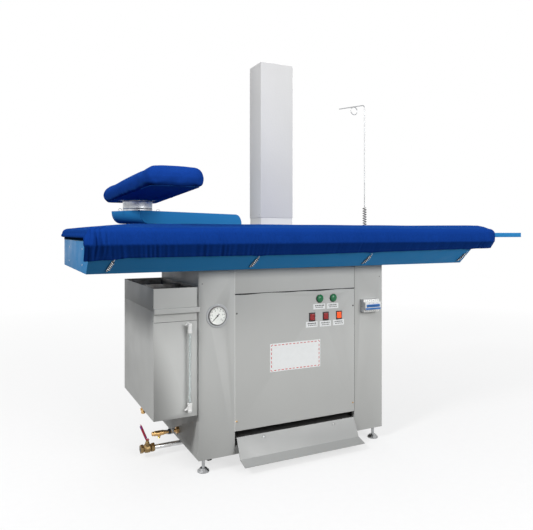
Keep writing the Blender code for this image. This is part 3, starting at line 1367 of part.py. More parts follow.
def fan_impeller():
    """Impeller: a disc with radial blades on the motor's shaft."""
    floor = fan_bottom() + FAN_WALL + 2 * IMPELLER_PLATE
    shaft_start = (FAN_X, FAN_Y, fan_bottom() - MOTOR_HEIGHT / 3)
    wheel = rod("fan_impeller", shaft_start, (FAN_X, FAN_Y, floor + IMPELLER_HEIGHT), SHAFT_RADIUS, ZINC)
    disc_end = (FAN_X, FAN_Y, floor + IMPELLER_PLATE)
    weld(wheel, rod("disc", (FAN_X, FAN_Y, floor), disc_end, IMPELLER_RADIUS, sides=ROUND_SIDES))
    half = IMPELLER_PLATE / 2
    for number in range(IMPELLER_BLADES):
        angle = 2 * math.pi * number / IMPELLER_BLADES
        low = (IMPELLER_RADIUS / 2, -half, floor + half)
        blade = box("blade", low, (IMPELLER_RADIUS - half, half, floor + IMPELLER_HEIGHT))
        blade.data.transform(Matrix.Translation((FAN_X, FAN_Y, 0)) @ Matrix.Rotation(angle, 4, "Z"))
        weld(wheel, blade)
    hang_on(wheel, (FAN_X, FAN_Y, floor))
    return wheel


def fan_motor():
    """Fan motor hung under the scroll, bored for its shaft."""
    top = fan_bottom() - FIT_GAP
    bottom = top - MOTOR_HEIGHT
    motor = rod("fan_motor", (FAN_X, FAN_Y, bottom), (FAN_X, FAN_Y, top), MOTOR_RADIUS, DARK_STEEL, ROUND_SIDES)
    bore_start = (FAN_X, FAN_Y, fan_bottom() - MOTOR_HEIGHT / 3 - RUNNING_GAP)
    bore_end = (FAN_X, FAN_Y, top + OVERRUN)
    return cut(motor, rod("bore", bore_start, bore_end, SHAFT_RADIUS + RUNNING_GAP))


def exhaust_box():
    """Box behind the cabinet that turns the fan's air up into the duct."""
    wall = DUCT_WALL
    right = DUCT_LEFT + DUCT_WIDTH
    back = DUCT_FRONT + DUCT_DEPTH
    front = CABINET_DEPTH + FIT_GAP
    low = (DUCT_LEFT, front, EXHAUST_BOX_BOTTOM)
    made = box("exhaust_box", low, (right, back, EXHAUST_BOX_TOP), DUCT_GREY)
    edge = wall + FIT_GAP
    stub_low = (DUCT_LEFT + edge, DUCT_FRONT + edge, EXHAUST_BOX_TOP - wall)
    weld(made, box("stub", stub_low, (right - edge, back - edge, DUCT_SEAM + DUCT_LAP)))
    hollow_low = (DUCT_LEFT + wall, front + wall, EXHAUST_BOX_BOTTOM + wall)
    cut(made, box("hollow", hollow_low, (right - wall, back - wall, EXHAUST_BOX_TOP - wall)))
    bore = edge + wall
    bore_low = (DUCT_LEFT + bore, DUCT_FRONT + bore, EXHAUST_BOX_TOP - OVERRUN)
    cut(made, box("bore", bore_low, (right - bore, back - bore, DUCT_SEAM + DUCT_LAP + OVERRUN)))
    inlet_low = (fan_outlet_left() + FAN_WALL, front - OVERRUN, fan_bottom() + FAN_WALL)
    inlet_high = (fan_outlet_right() - FAN_WALL, front + OVERRUN, fan_top() - FAN_WALL)
    return cut(made, box("inlet", inlet_low, inlet_high))


def exhaust_duct():
    """Tall square duct slipped over the exhaust box's stub."""
    high = (DUCT_LEFT + DUCT_WIDTH, DUCT_FRONT + DUCT_DEPTH, DUCT_TOP)
    duct = box("exhaust_duct", (DUCT_LEFT, DUCT_FRONT, DUCT_SEAM), high, DUCT_GREY)
    wall = DUCT_WALL
    bore_low = (DUCT_LEFT + wall, DUCT_FRONT + wall, DUCT_SEAM - OVERRUN)
    return cut(duct, box("bore", bore_low, (high[0] - wall, high[1] - wall, DUCT_TOP + OVERRUN)))


# Swing arm and sleeve buck

def arm_post():
    """Hollow post on a bracket at the tray's back, which the swing arm turns on."""
    top = ARM_TOP - ARM_WALL - FIT_GAP
    post = rod("arm_post", (POST_X, POST_Y, POST_BOTTOM), (POST_X, POST_Y, top), POST_RADIUS, TEAL_PAINT, ROUND_SIDES)
    half = POST_BRACKET_WIDTH / 2
    low = (POST_X - half, TRAY_BACK + FIT_GAP, POST_BOTTOM)
    weld(post, box("bracket", low, (POST_X + half, POST_Y, POST_BOTTOM + POST_BRACKET_HEIGHT)))
    bore_start = (POST_X, POST_Y, POST_BOTTOM - OVERRUN)
    bore_end = (POST_X, POST_Y, top + OVERRUN)
    return cut(post, rod("bore", bore_start, bore_end, POST_RADIUS - POST_WALL, sides=ROUND_SIDES))


def arm_outline(inset, steps=6):
    """Arm's side outline along its heading and up: round under its nose, round over its heel."""
    round_size = ARM_ROUND - inset
    outline = [(-ARM_FAR + inset, ARM_BOTTOM + inset)]
    nose = ARM_NEAR - inset - round_size
    for step in range(steps + 1):
        angle = math.pi / 2 * (step / steps - 1)
        x = nose + round_size * math.cos(angle)
        outline.append((x, ARM_BOTTOM + inset + round_size + round_size * math.sin(angle)))
    outline.append((ARM_NEAR - inset, ARM_TOP - inset))
    heel = -ARM_FAR + inset + round_size
    for step in range(steps + 1):
        angle = math.pi / 2 * (1 + step / steps)
        x = heel + round_size * math.cos(angle)
        outline.append((x, ARM_TOP - inset - round_size + round_size * math.sin(angle)))
    return outline


def neck_place():
    """Plan position of the buck's neck on the arm."""
    x = POST_X + NECK_REACH * math.cos(ARM_HEADING)
    return x, POST_Y + NECK_REACH * math.sin(ARM_HEADING)


def arm_solid(name, inset):
    """Arm's form drawn in by inset, its heel cut square in line with the duct's back."""
    half = ARM_WIDTH / 2 - inset
    solid = prism(name, arm_outline(inset), 1, -half, half, TEAL_PAINT)
    turn = Matrix.Rotation(ARM_HEADING, 4, "Z")
    solid.data.transform(Matrix.Translation((POST_X, POST_Y, 0)) @ turn)
    back = DUCT_FRONT + DUCT_DEPTH - ARM_HEEL_CLEAR - inset
    low = (POST_X - ARM_WIDTH, back, ARM_BOTTOM - OVERRUN)
    high = (POST_X + ARM_WIDTH + ARM_FAR, back + ARM_FAR, ARM_TOP + OVERRUN)
    return cut(solid, box("heel", low, high))


def swing_arm():
    """Hollow box arm, open where the post enters it and where the neck leaves it."""
    arm = arm_solid("swing_arm", 0)
    cut(arm, arm_solid("hollow", ARM_WALL))
    hole_start = (POST_X, POST_Y, ARM_BOTTOM - OVERRUN)
    hole_end = (POST_X, POST_Y, ARM_BOTTOM + OVERRUN)
    cut(arm, rod("hole", hole_start, hole_end, POST_RADIUS + FIT_GAP, sides=ROUND_SIDES))
    x, y = neck_place()
    spigot = NECK_RADIUS - NECK_BEAD
    mouth = (spigot + FIT_GAP) / math.cos(math.pi / ROUND_SIDES)
    mouth_start = (x, y, ARM_TOP - OVERRUN)
    cut(arm, rod("mouth", mouth_start, (x, y, ARM_TOP + OVERRUN), mouth, sides=ROUND_SIDES))
    hang_on(arm, (POST_X, POST_Y, 0))
    return arm


def buck_plan(inset, steps=6):
    """Buck's outline, narrower in front, drawn in by inset, with its corners rounded."""
    middle = neck_place()[0]
    front = BUCK_FRONT + inset
    back = BUCK_FRONT + BUCK_LENGTH - inset
    half_front = BUCK_FRONT_WIDTH / 2 - inset
    half_back = BUCK_BACK_WIDTH / 2 - inset
    radius = min(max(BUCK_CORNER - inset, BUCK_CORNER / 4), half_front * CORNER_LIMIT_SHARE)
    plain = rounded_rectangle((-half_front, front), (half_front, back), (radius,) * 4, steps)
    outline = []
    side_parts = 8
    for index, (x, y) in enumerate(plain):
        share = (y - front) / (back - front)
        half = half_front + (half_back - half_front) * share
        side = -1 if x < 0 else 1
        edge = x + side * (half - half_front)
        outline.append((middle + edge, y))
        if index % (steps + 1) == steps and index // (steps + 1) in (1, 3):
            after = plain[(index + 1) % len(plain)]
            for part in range(1, side_parts):
                part_y = y + (after[1] - y) * part / side_parts
                part_share = (part_y - front) / (back - front)
                part_half = half_front + (half_back - half_front) * part_share
                outline.append((middle + side * part_half, part_y))
    return outline


def buck_tilt(thing):
    """Tilt a buck piece slightly up towards its front about the top of the neck."""
    x, y = neck_place()
    centre = Matrix.Translation((x, y, NECK_TOP))
    thing.data.transform(centre @ Matrix.Rotation(BUCK_TILT, 4, "X") @ centre.inverted())


def buck_pan():
    """Steel pan under the buck's pad, on a neck that turns in the arm."""
    x, y = neck_place()
    top = NECK_TOP + BUCK_PAN_DEPTH
    pan = prism("buck_pan", buck_plan(BUCK_PAN_INSET), 2, NECK_TOP, top, TEAL_PAINT)
    inner = buck_plan(BUCK_PAN_INSET + NECK_WALL)
    cut(pan, prism("hollow", inner, 2, NECK_TOP + NECK_WALL, top + OVERRUN))
    buck_tilt(pan)
    tilt_rise = NECK_RADIUS * math.sin(abs(BUCK_TILT))
    neck_end = (x, y, NECK_TOP + tilt_rise + NECK_WALL)
    weld(pan, rod("neck", (x, y, ARM_TOP + FIT_GAP), neck_end, NECK_RADIUS, sides=ROUND_SIDES))
    spigot_start = (x, y, ARM_TOP - NECK_SPIGOT)
    spigot = NECK_RADIUS - NECK_BEAD
    weld(pan, rod("spigot", spigot_start, (x, y, NECK_TOP), spigot, sides=ROUND_SIDES))
    bore_start = (x, y, ARM_TOP - NECK_SPIGOT - OVERRUN)
    bore_end = (x, y, top + OVERRUN)
    cut(pan, rod("bore", bore_start, bore_end, spigot - NECK_WALL, sides=ROUND_SIDES))
    hang_on(pan, (x, y, ARM_TOP))
    return pan


def buck_pad():
    """Buck's padded cover: crowned top, drawn-in sides and a recess over the pan."""
    shape = bmesh.new()
    bottom = NECK_TOP
    top = bottom + BUCK_THICKNESS - BUCK_CROWN
    recess = BUCK_PAN_INSET - FIT_GAP
    ceiling = bottom + BUCK_PAN_DEPTH + FIT_GAP
    stations = [(recess, ceiling), (recess, bottom), (BUCK_HEM_INSET, bottom)]
    stations += [(BUCK_HEM_INSET / 4, bottom + BUCK_HEM_INSET), (0, top - BUCK_SHOULDER)]
    for share in SHOULDER_SHARES:
        angle = math.pi / 2 * share
        inset = BUCK_SHOULDER * (1 - math.cos(angle))
        stations.append((inset, top - BUCK_SHOULDER * (1 - math.sin(angle))))
    crown_steps = 3
    for step in range(1, crown_steps + 1):
        share = step / crown_steps
        inset = BUCK_SHOULDER + (BUCK_FRONT_WIDTH / 2 - BUCK_SHOULDER) * share * BUCK_CROWN_SHARE
        stations.append((inset, top + BUCK_CROWN * math.sin(math.pi / 2 * share)))
    loops = []
    for inset, height in stations:
        loops.append([shape.verts.new((x, y, height)) for x, y in buck_plan(inset)])
    for first, second in zip(loops, loops[1:]):
        bridge(shape, first, second)
    shape.faces.new(loops[0])
    shape.faces.new(list(reversed(loops[-1])))
    pad = add_object("buck_pad", shape, BLUE_CLOTH)
    smooth(pad)
    buck_tilt(pad)
    x, y = neck_place()
    hang_on(pad, (x, y, ARM_TOP))
    return pad


# Hose hanger

def hanger():
    """Hose hanger: bracket and stub, open coil spring, and a bent rod with a ring."""
    half = HANGER_BRACKET_WIDTH / 2
    low = (HANGER_X - half, TRAY_BACK + FIT_GAP, HANGER_BRACKET_BOTTOM)
    high = (HANGER_X + half, HANGER_Y, HANGER_BRACKET_BOTTOM + HANGER_BRACKET_HEIGHT)
    bracket = box("hanger_bracket", low, high, TEAL_PAINT)
    stub_start = (HANGER_X, HANGER_Y, HANGER_BRACKET_BOTTOM)
    stub_end = (HANGER_X, HANGER_Y, HANGER_STUB_TOP)
    weld(bracket, rod("stub", stub_start, stub_end, HANGER_STUB_RADIUS))
    collar_start = (HANGER_X, HANGER_Y, HANGER_STUB_TOP - HANGER_COLLAR_HEIGHT)
    weld(bracket, rod("collar", collar_start, stub_end, HANGER_COLLAR_RADIUS))
    hanger_spring()
    hanger_rod()


def hanger_spring():
    """Open coil that holds the hanger's rod upright and lets it sway."""
    bottom = HANGER_STUB_TOP + HANGER_SPRING_LIFT + HANGER_SPRING_WIRE
    start = (HANGER_X, HANGER_Y, bottom)
    end = (HANGER_X, HANGER_Y, HANGER_SPRING_TOP)
    grip = HANGER_ROD_RADIUS + HANGER_SPRING_WIRE + FIT_GAP
    points = coil_points(start, end, HANGER_SPRING_RADIUS, HANGER_SPRING_CURLS, grip)
    spring = as_mesh(wire("hanger_spring", points, HANGER_SPRING_WIRE, ZINC))
    report_gap("hanger_spring", points, HANGER_SPRING_WIRE)
    hang_on(spring, (HANGER_X, HANGER_Y, HANGER_STUB_TOP))


def hanger_rod():
    """Rod up from the collar, bent over into a drooping arm that ends past a ring."""
    bottom = HANGER_STUB_TOP + FIT_GAP
    points = [Vector((HANGER_X, HANGER_Y, bottom)), Vector((HANGER_X, HANGER_Y, HANGER_ROD_TOP - HANGER_BEND))]
    slope = math.atan2(HANGER_DROOP, HANGER_ARM)
    steps = 4
    for step in range(1, steps + 1):
        angle = (math.pi / 2 + slope) * step / steps
        x = HANGER_X - HANGER_BEND * (1 - math.cos(angle))
        z = HANGER_ROD_TOP - HANGER_BEND + HANGER_BEND * math.sin(angle)
        points.append(Vector((x, HANGER_Y, z)))
    tip = Vector((HANGER_X - HANGER_ARM, HANGER_Y, HANGER_ROD_TOP - HANGER_DROOP))
    points.append(tip)
    made = as_mesh(wire("hanger_rod", points, HANGER_ROD_RADIUS, ZINC))
    ring_x = HANGER_X - HANGER_ARM * HANGER_RING_PLACE_SHARE
    ring_z = HANGER_ROD_TOP - HANGER_DROOP * HANGER_RING_PLACE_SHARE - HANGER_RING_RADIUS
    weld(made, hanger_ring((ring_x, HANGER_Y, ring_z)))
    hang_on(made, (HANGER_X, HANGER_Y, HANGER_STUB_TOP))


def hanger_ring(centre):
    """Wire ring welded under the arm, for the hose to pass through."""
    sides = 6
    profile = []
    for index in range(sides):
        angle = 2 * math.pi * index / sides
        radius = HANGER_RING_RADIUS + HANGER_ROD_RADIUS * math.cos(angle)
        profile.append((radius, HANGER_ROD_RADIUS * math.sin(angle)))
    return turned("ring", profile, centre, ZINC, (0, 1, 0), ROUND_SIDES)


# Valves

def bent_route(start, corner, end, bend, steps=4):
    """Points from start to end round one square corner with a bend of radius bend."""
    corner = Vector(corner)
    back = (Vector(start) - corner).normalized()
    on = (Vector(end) - corner).normalized()
    centre = corner + (back + on) * bend
    points = [Vector(start)]
    for step in range(steps + 1):
        angle = math.pi / 2 * step / steps
        points.append(centre - on * bend * math.cos(angle) - back * bend * math.sin(angle))
    points.append(Vector(end))
    return points


def blowdown_valve():
    """Boiler's drain: pipe down through the base, out under the wall, and a ball valve."""
    boiler_bottom = BASE_FLOOR + BOILER_LEG
    valve_x = -BLOWDOWN_REACH + VALVE_BODY_LENGTH / 2
    body_start = (valve_x - VALVE_BODY_LENGTH / 2, BLOWDOWN_Y, BLOWDOWN_Z)
    body_end = (valve_x + VALVE_BODY_LENGTH / 2, BLOWDOWN_Y, BLOWDOWN_Z)
    valve = rod("blowdown_valve", body_start, body_end, VALVE_BODY_RADIUS, BRASS)
    corner = (BOILER_X, BLOWDOWN_Y, BLOWDOWN_Z)
    riser_end = (BOILER_X, BLOWDOWN_Y, boiler_bottom + BOILER_WALL)
    route = bent_route((valve_x, BLOWDOWN_Y, BLOWDOWN_Z), corner, riser_end, BLOWDOWN_BEND)
    weld(valve, as_mesh(wire("pipe", route, BLOWDOWN_PIPE_RADIUS, BRASS, 2)))
    bonnet_top = BLOWDOWN_Z + VALVE_BODY_RADIUS + VALVE_STEM_LENGTH
    bonnet_start = (valve_x, BLOWDOWN_Y, BLOWDOWN_Z)
    weld(valve, rod("bonnet", bonnet_start, (valve_x, BLOWDOWN_Y, bonnet_top), VALVE_BONNET_RADIUS))
    return valve


def blowdown_lever():
    """Lever on the drain valve's stem, bent up and outward."""
    valve_x = -BLOWDOWN_REACH + VALVE_BODY_LENGTH / 2
    bottom = BLOWDOWN_Z + VALVE_BODY_RADIUS + VALVE_STEM_LENGTH + FIT_GAP
    half = LEVER_WIDTH / 2
    plate = LEVER_THICKNESS
    outline = [
        (valve_x + half, bottom),
        (valve_x + half, bottom + plate),
        (valve_x - half + plate, bottom + plate),
        (valve_x - LEVER_RISE + plate, bottom + LEVER_LENGTH),
        (valve_x - LEVER_RISE, bottom + LEVER_LENGTH),
        (valve_x - half, bottom),
    ]
    lever = prism("blowdown_lever", outline, 1, BLOWDOWN_Y - half, BLOWDOWN_Y + half, LEVER_RED)
    hang_on(lever, (valve_x, BLOWDOWN_Y, bottom))
    return lever


def inlet_valve():
    """Brass water inlet on the side wall, with a hose nipple below."""
    half = INLET_BODY_LENGTH / 2
    start = (INLET_X - half, INLET_Y, INLET_Z)
    valve = rod("inlet_valve", start, (INLET_X + half, INLET_Y, INLET_Z), INLET_BODY_RADIUS, BRASS)
    pipe_end = (-FIT_GAP, INLET_Y, INLET_Z)
    weld(valve, rod("pipe", (INLET_X, INLET_Y, INLET_Z), pipe_end, INLET_PIPE_RADIUS))
    nut_start = (-FIT_GAP - INLET_BODY_RADIUS, INLET_Y, INLET_Z)
    weld(valve, rod("nut", nut_start, pipe_end, INLET_NUT_RADIUS, sides=6))
    nipple_end = (INLET_X, INLET_Y, INLET_Z - INLET_BODY_RADIUS * 2)
    weld(valve, rod("nipple", (INLET_X, INLET_Y, INLET_Z), nipple_end, INLET_NIPPLE_RADIUS))
    return valve


def tank_drain_cock():
    """Brass drain cock screwed into the tank's floor."""
    bottom = TANK_BOTTOM - FIT_GAP - DRAIN_LENGTH
    top = (DRAIN_X, DRAIN_Y, TANK_BOTTOM - FIT_GAP)
    cock = rod("tank_drain_cock", (DRAIN_X, DRAIN_Y, bottom), top, DRAIN_RADIUS, BRASS)
    spigot_end = (DRAIN_X, DRAIN_Y, TANK_BOTTOM + TANK_WALL)
    weld(cock, rod("spigot", (DRAIN_X, DRAIN_Y, bottom + DRAIN_RADIUS), spigot_end, SIGHT_RADIUS))
    branch_z = bottom + DRAIN_RADIUS * 2
    branch_end = (DRAIN_X + DRAIN_LENGTH, DRAIN_Y, branch_z)
    weld(cock, rod("branch", (DRAIN_X, DRAIN_Y, branch_z), branch_end, DRAIN_BRANCH_RADIUS))
    return cock


def buck_reach():
    """Y of the tilted buck pad's foremost edge, which is the whole table's front."""
    y = neck_place()[1]
    wall_height = BUCK_THICKNESS - BUCK_CROWN - BUCK_SHOULDER
    return y + (BUCK_FRONT - y) * math.cos(BUCK_TILT) - wall_height * math.sin(BUCK_TILT)


def centre_on_origin():
    """Parent every piece to an empty that puts the origin under the table's middle."""
    centre = bpy.data.objects.new("table_origin", None)
    pieces = list(bpy.context.scene.objects)
    bpy.context.collection.objects.link(centre)
    centre.location = (-(TABLE_LEFT + TABLE_RIGHT) / 2, -(buck_reach() + TABLE_BACK) / 2, 0)
    for piece in pieces:
        piece.parent = centre


def main():
    """Build the table."""
    clear_scene()
    base_pan()
    left_column_panel()
    right_column_panel()
    rear_panel()
    fascia_panel()
    front_cover()
    top_frame()
    feet()
    casters()
    tray()
    perforated_plate()
    table_pad()
    cover_springs()
    iron_rest()
    tank()
    sight_gauge()
    float_arm()
    gauge()
    lamps()
    rockers()
    breaker()
    pedal()
    boiler()
    water_pump()
    fan_housing()
    fan_impeller()
    fan_motor()
    exhaust_box()
    exhaust_duct()
    arm_post()
    swing_arm()
    buck_pan()
    buck_pad()
    hanger()
    blowdown_valve()
    blowdown_lever()
    inlet_valve()
    tank_drain_cock()
    centre_on_origin()


main()
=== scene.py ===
"""Vacuum ironing table: paint, cloth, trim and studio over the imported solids.

World axes: +X along the cabinet's front to the right, +Y to the back, +Z up, with the
origin on the floor under the middle of the whole table. Lengths are in metres.
"""
import json
import logging
import math
from dataclasses import dataclass, field
from enum import Enum
from typing import Callable, Optional, Sequence

import bmesh
import bpy
import numpy as np
from bpy.types import NodeSocket as Socket
from mathutils import Matrix, Vector

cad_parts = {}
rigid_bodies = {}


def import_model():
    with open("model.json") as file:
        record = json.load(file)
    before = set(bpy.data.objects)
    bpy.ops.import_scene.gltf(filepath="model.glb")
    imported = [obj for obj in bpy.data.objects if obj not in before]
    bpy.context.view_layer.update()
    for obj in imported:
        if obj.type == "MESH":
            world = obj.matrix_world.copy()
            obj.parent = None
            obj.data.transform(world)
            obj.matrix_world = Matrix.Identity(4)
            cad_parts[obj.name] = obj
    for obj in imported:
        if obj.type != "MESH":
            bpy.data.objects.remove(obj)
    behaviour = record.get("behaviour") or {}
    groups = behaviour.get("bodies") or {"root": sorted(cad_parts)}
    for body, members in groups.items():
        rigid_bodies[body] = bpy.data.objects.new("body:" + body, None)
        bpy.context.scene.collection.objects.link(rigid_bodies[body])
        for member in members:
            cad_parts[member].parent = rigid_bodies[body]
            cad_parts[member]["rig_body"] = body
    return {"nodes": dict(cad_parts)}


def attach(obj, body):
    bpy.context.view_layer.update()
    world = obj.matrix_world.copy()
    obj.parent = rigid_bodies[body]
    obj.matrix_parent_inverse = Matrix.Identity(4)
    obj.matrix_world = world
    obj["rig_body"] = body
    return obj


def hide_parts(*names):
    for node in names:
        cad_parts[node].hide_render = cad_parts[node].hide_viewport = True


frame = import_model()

LOG = logging.getLogger("ironing_table")
MM = 0.001
SHIFT_X = -0.59035
SHIFT_Y = -0.269275
Point = tuple[float, float, float]
Colour = tuple[float, float, float, float]
Piece = bpy.types.Object


class Facing(Enum):
    """The way a fastener or a plate faces."""

    FRONT = (math.pi / 2, 0.0, 0.0)
    LEFT = (math.pi / 2, 0.0, -math.pi / 2)
    BACK = (math.pi / 2, 0.0, math.pi)


class Axis(Enum):
    """Axis that a turned piece is turned about."""

    X = (1.0, 0.0, 0.0)
    Y = (0.0, -1.0, 0.0)
    Z = (0.0, 0.0, 1.0)


def seen(red: int, green: int, blue: int) -> Colour:
    """Linear colour, with alpha, of a screen colour from 0 to 255.

    Args:
        red: red on the screen.
        green: green on the screen.
        blue: blue on the screen.

    Returns:
        The colour.
    """
    shares = [value / 255 for value in (red, green, blue)]
    linear = [s / 12.92 if s <= 0.04045 else ((s + 0.055) / 1.055) ** 2.4 for s in shares]
    return (linear[0], linear[1], linear[2], 1.0)


def toned(colour: Colour, share: float) -> Colour:
    """A colour made darker or lighter by a share."""
    return (colour[0] * share, colour[1] * share, colour[2] * share, 1.0)


def place(x: float, y: float, z: float) -> Point:
    """A world point from one measured off the cabinet's front left corner."""
    return (x + SHIFT_X, y + SHIFT_Y, z)


# Finishes


class NodeSheet:
    """A node tree, with short calls that add nodes and join them."""

    def __init__(self, tree: bpy.types.NodeTree) -> None:
        """Take up a tree and empty it."""
        self.tree = tree
        self.tree.nodes.clear()

    def add(self, kind: str, joins: dict, **settings: object) -> bpy.types.Node:
        """Add a node.

        Args:
            kind: the node's type.
            joins: values or output sockets for its inputs, by name or number.
            settings: the node's own properties.

        Returns:
            The new node.
        """
        node = self.tree.nodes.new(kind)
        for name, value in settings.items():
            setattr(node, name, value)
        for name, value in joins.items():
            if isinstance(value, Socket):
                self.tree.links.new(value, node.inputs[name])
            else:
                node.inputs[name].default_value = value
        return node

    def out(self, kind: str, joins: dict, **settings: object) -> Socket:
        """Add a node and give its first output."""
        return self.add(kind, joins, **settings).outputs[0]

    def sum(self, first: object, second: object, operation: str = "ADD") -> Socket:
        """Join two values or patterns by a sum or another operation."""
        return self.out("ShaderNodeMath", {0: first, 1: second}, operation=operation)

    def seen_rays(self) -> Socket:
        """1 for rays from the camera, a mirror or a glass, which see the white studio.

        Returns:
            The share.
        """
        path = self.add("ShaderNodeLightPath", {}).outputs
        rays = self.sum(path["Is Camera Ray"], path["Is Glossy Ray"], "MAXIMUM")
        return self.sum(rays, path["Is Transmission Ray"], "MAXIMUM")


class FinishSheet(NodeSheet):
    """A material's node tree, with its patterns and one Principled shader."""

    def __init__(self, name: str) -> None:
        """Start a material of a name.

        Args:
            name: the material's name.
        """
        self.material = bpy.data.materials.new(name)
        self.material.use_nodes = True
        super().__init__(self.material.node_tree)
        self.shader = self.add("ShaderNodeBsdfPrincipled", {})
        self.output = self.add("ShaderNodeOutputMaterial", {0: self.shader.outputs[0]})
        self.coords = self.add("ShaderNodeTexCoord", {}).outputs["Object"]

    def set(self, **values: object) -> None:
        """Set the shader's sockets, named in lower case with underscores."""
        for name, value in values.items():
            self.shader.inputs[name.replace("_", " ").title().replace("Ior", "IOR")].default_value = value

    def noise(self, scale: float, detail: float = 2.0, stretch: Point = (1, 1, 1), distortion: float = 0.0) -> Socket:
        """Noise over the object, from 0 to 1.

        Args:
            scale: waves to a metre.
            detail: octaves.
            stretch: factors on the coordinates.
            distortion: how far the pattern is twisted.

        Returns:
            The noise's value.
        """
        mapped = self.out("ShaderNodeMapping", {"Vector": self.coords, "Scale": stretch})
        joins = {"Vector": mapped, "Scale": scale, "Detail": detail, "Distortion": distortion}
        return self.out("ShaderNodeTexNoise", joins)

    def spread(self, value: Socket, low: float, high: float, start: float = 0.3, end: float = 0.7) -> Socket:
        """Map a pattern's start to end onto low to high, and no further."""
        return self.out("ShaderNodeMapRange", {0: value, 1: start, 2: end, 3: low, 4: high}, clamp=True)

    def blend(self, share: Socket, first: object, second: object) -> Socket:
        """Colour between two colours or colour sockets, by a share from 0 to 1."""
        return self.add("ShaderNodeMix", {0: share, 6: first, 7: second}, data_type="RGBA").outputs[2]

    def bump(self, height: Socket, strength: float, depth: float, under: Optional[Socket] = None) -> Socket:
        """Normal of a height pattern, over another normal where one is given.

        Args:
            height: the pattern.
            strength: share of its depth that shows.
            depth: its depth.
            under: the other normal.

        Returns:
            The normal.
        """
        joins = {"Height": height, "Strength": strength, "Distance": depth}
        if under is not None:
            joins["Normal"] = under
        return self.out("ShaderNodeBump", joins)

    def join(self, output: Socket, name: str) -> None:
        """Lead an output to one of the shader's inputs."""
        self.tree.links.new(output, self.shader.inputs[name])


@dataclass(frozen=True)
class SprayedPaint:
    """Sprayed enamel on sheet steel, with orange peel, faint dust and fine scratches."""

    name: str
    colour: Colour
    roughness: float = 0.4
    coat: float = 0.15
    peel_scale: float = 260.0
    peel_depth: float = 0.25 * MM
    dust: float = 0.06
    scratches: float = 0.0
    gloss: float = 0.4

    def build(self) -> bpy.types.Material:
        """Build the material.

        Returns:
            The material.
        """
        sheet = FinishSheet(self.name)
        sheet.set(specular_ior_level=self.gloss, coat_weight=self.coat, coat_roughness=0.25)
        broad = sheet.spread(sheet.noise(2.6, 3.0), 0, 1)
        base = sheet.blend(broad, toned(self.colour, 0.965), toned(self.colour, 1.025))
        smudge = sheet.spread(sheet.noise(9.0, 5.0, (1, 1, 0.35), distortion=0.6), 0, self.dust, 0.5, 0.8)
        base = sheet.blend(smudge, base, toned(self.colour, 0.55))
        speck = sheet.spread(sheet.noise(700.0, 1.0), 0, 0.18, 0.62, 0.75)
        base = sheet.blend(speck, base, toned(self.colour, 0.8))
        if self.scratches:
            streak = sheet.noise(30.0, 2.0, (14, 1, 0.9), distortion=1.2)
            streak = sheet.spread(streak, 0, self.scratches, 0.66, 0.72)
            patch = sheet.spread(sheet.noise(7.0, 2.0), 0, 1, 0.5, 0.65)
            streak = sheet.sum(streak, patch, "MULTIPLY")
            pale = tuple(min(1.0, value * 0.6 + 0.25) for value in self.colour[:3]) + (1.0,)
            base = sheet.blend(streak, base, pale)
        sheet.join(base, "Base Color")
        worn = sheet.spread(sheet.noise(14.0, 4.0), self.roughness - 0.07, self.roughness + 0.08)
        sheet.join(worn, "Roughness")
        peel = sheet.noise(self.peel_scale, 1.5)
        wave = sheet.bump(sheet.noise(5.0, 1.0), 0.25, 1.2 * MM)
        sheet.join(sheet.bump(peel, 0.35, self.peel_depth, wave), "Normal")
        return sheet.material


@dataclass(frozen=True)
class BareMetal:
    """Plated, cast or turned metal, with grain, stains and small dents."""

    name: str
    colour: Colour
    stain: Colour
    roughness: float = 0.32
    grain_depth: float = 0.05 * MM
    stain_share: float = 0.5

    def build(self) -> bpy.types.Material:
        """Build the material.

        Returns:
            The material.
        """
        sheet = FinishSheet(self.name)
        sheet.set(metallic=1.0)
        patch = sheet.spread(sheet.noise(45.0, 5.0, distortion=0.8), 0, self.stain_share, 0.42, 0.68)
        base = sheet.blend(patch, self.colour, self.stain)
        fleck = sheet.spread(sheet.noise(520.0, 2.0), 0, 0.35, 0.55, 0.75)
        sheet.join(sheet.blend(fleck, base, toned(self.colour, 0.6)), "Base Color")
        rough = sheet.spread(sheet.noise(80.0, 4.0), self.roughness - 0.08, self.roughness + 0.14)
        sheet.join(rough, "Roughness")
        dents = sheet.bump(sheet.noise(60.0, 2.0), 0.2, 0.3 * MM)
        grain = sheet.noise(900.0, 2.0)
        sheet.join(sheet.bump(grain, 0.4, self.grain_depth, dents), "Normal")
        return sheet.material


@dataclass(frozen=True)
class Plastic:
    """Moulded plastic or rubber, with a spark-eroded grain and handling marks."""

    name: str
    colour: Colour
    roughness: float = 0.4
    clear: float = 0.0
    glow: float = 0.0
    grain_depth: float = 0.06 * MM
    handling: float = 0.12

    def build(self) -> bpy.types.Material:
        """Build the material.

        Returns:
            The material.
        """
        sheet = FinishSheet(self.name)
        sheet.set(transmission_weight=self.clear, ior=1.46, specular_ior_level=0.5)
        if self.glow:
            sheet.set(emission_color=self.colour, emission_strength=self.glow)
        marks = sheet.spread(sheet.noise(60.0, 4.0, distortion=0.5), 0, self.handling, 0.45, 0.75)
        sheet.join(sheet.blend(marks, self.colour, toned(self.colour, 0.62)), "Base Color")
        rough = sheet.spread(sheet.noise(90.0, 3.0), max(0.02, self.roughness - 0.06), self.roughness + 0.08)
        sheet.join(rough, "Roughness")
        sheet.join(sheet.bump(sheet.noise(1400.0, 1.0), 0.3, self.grain_depth), "Normal")
        return sheet.material


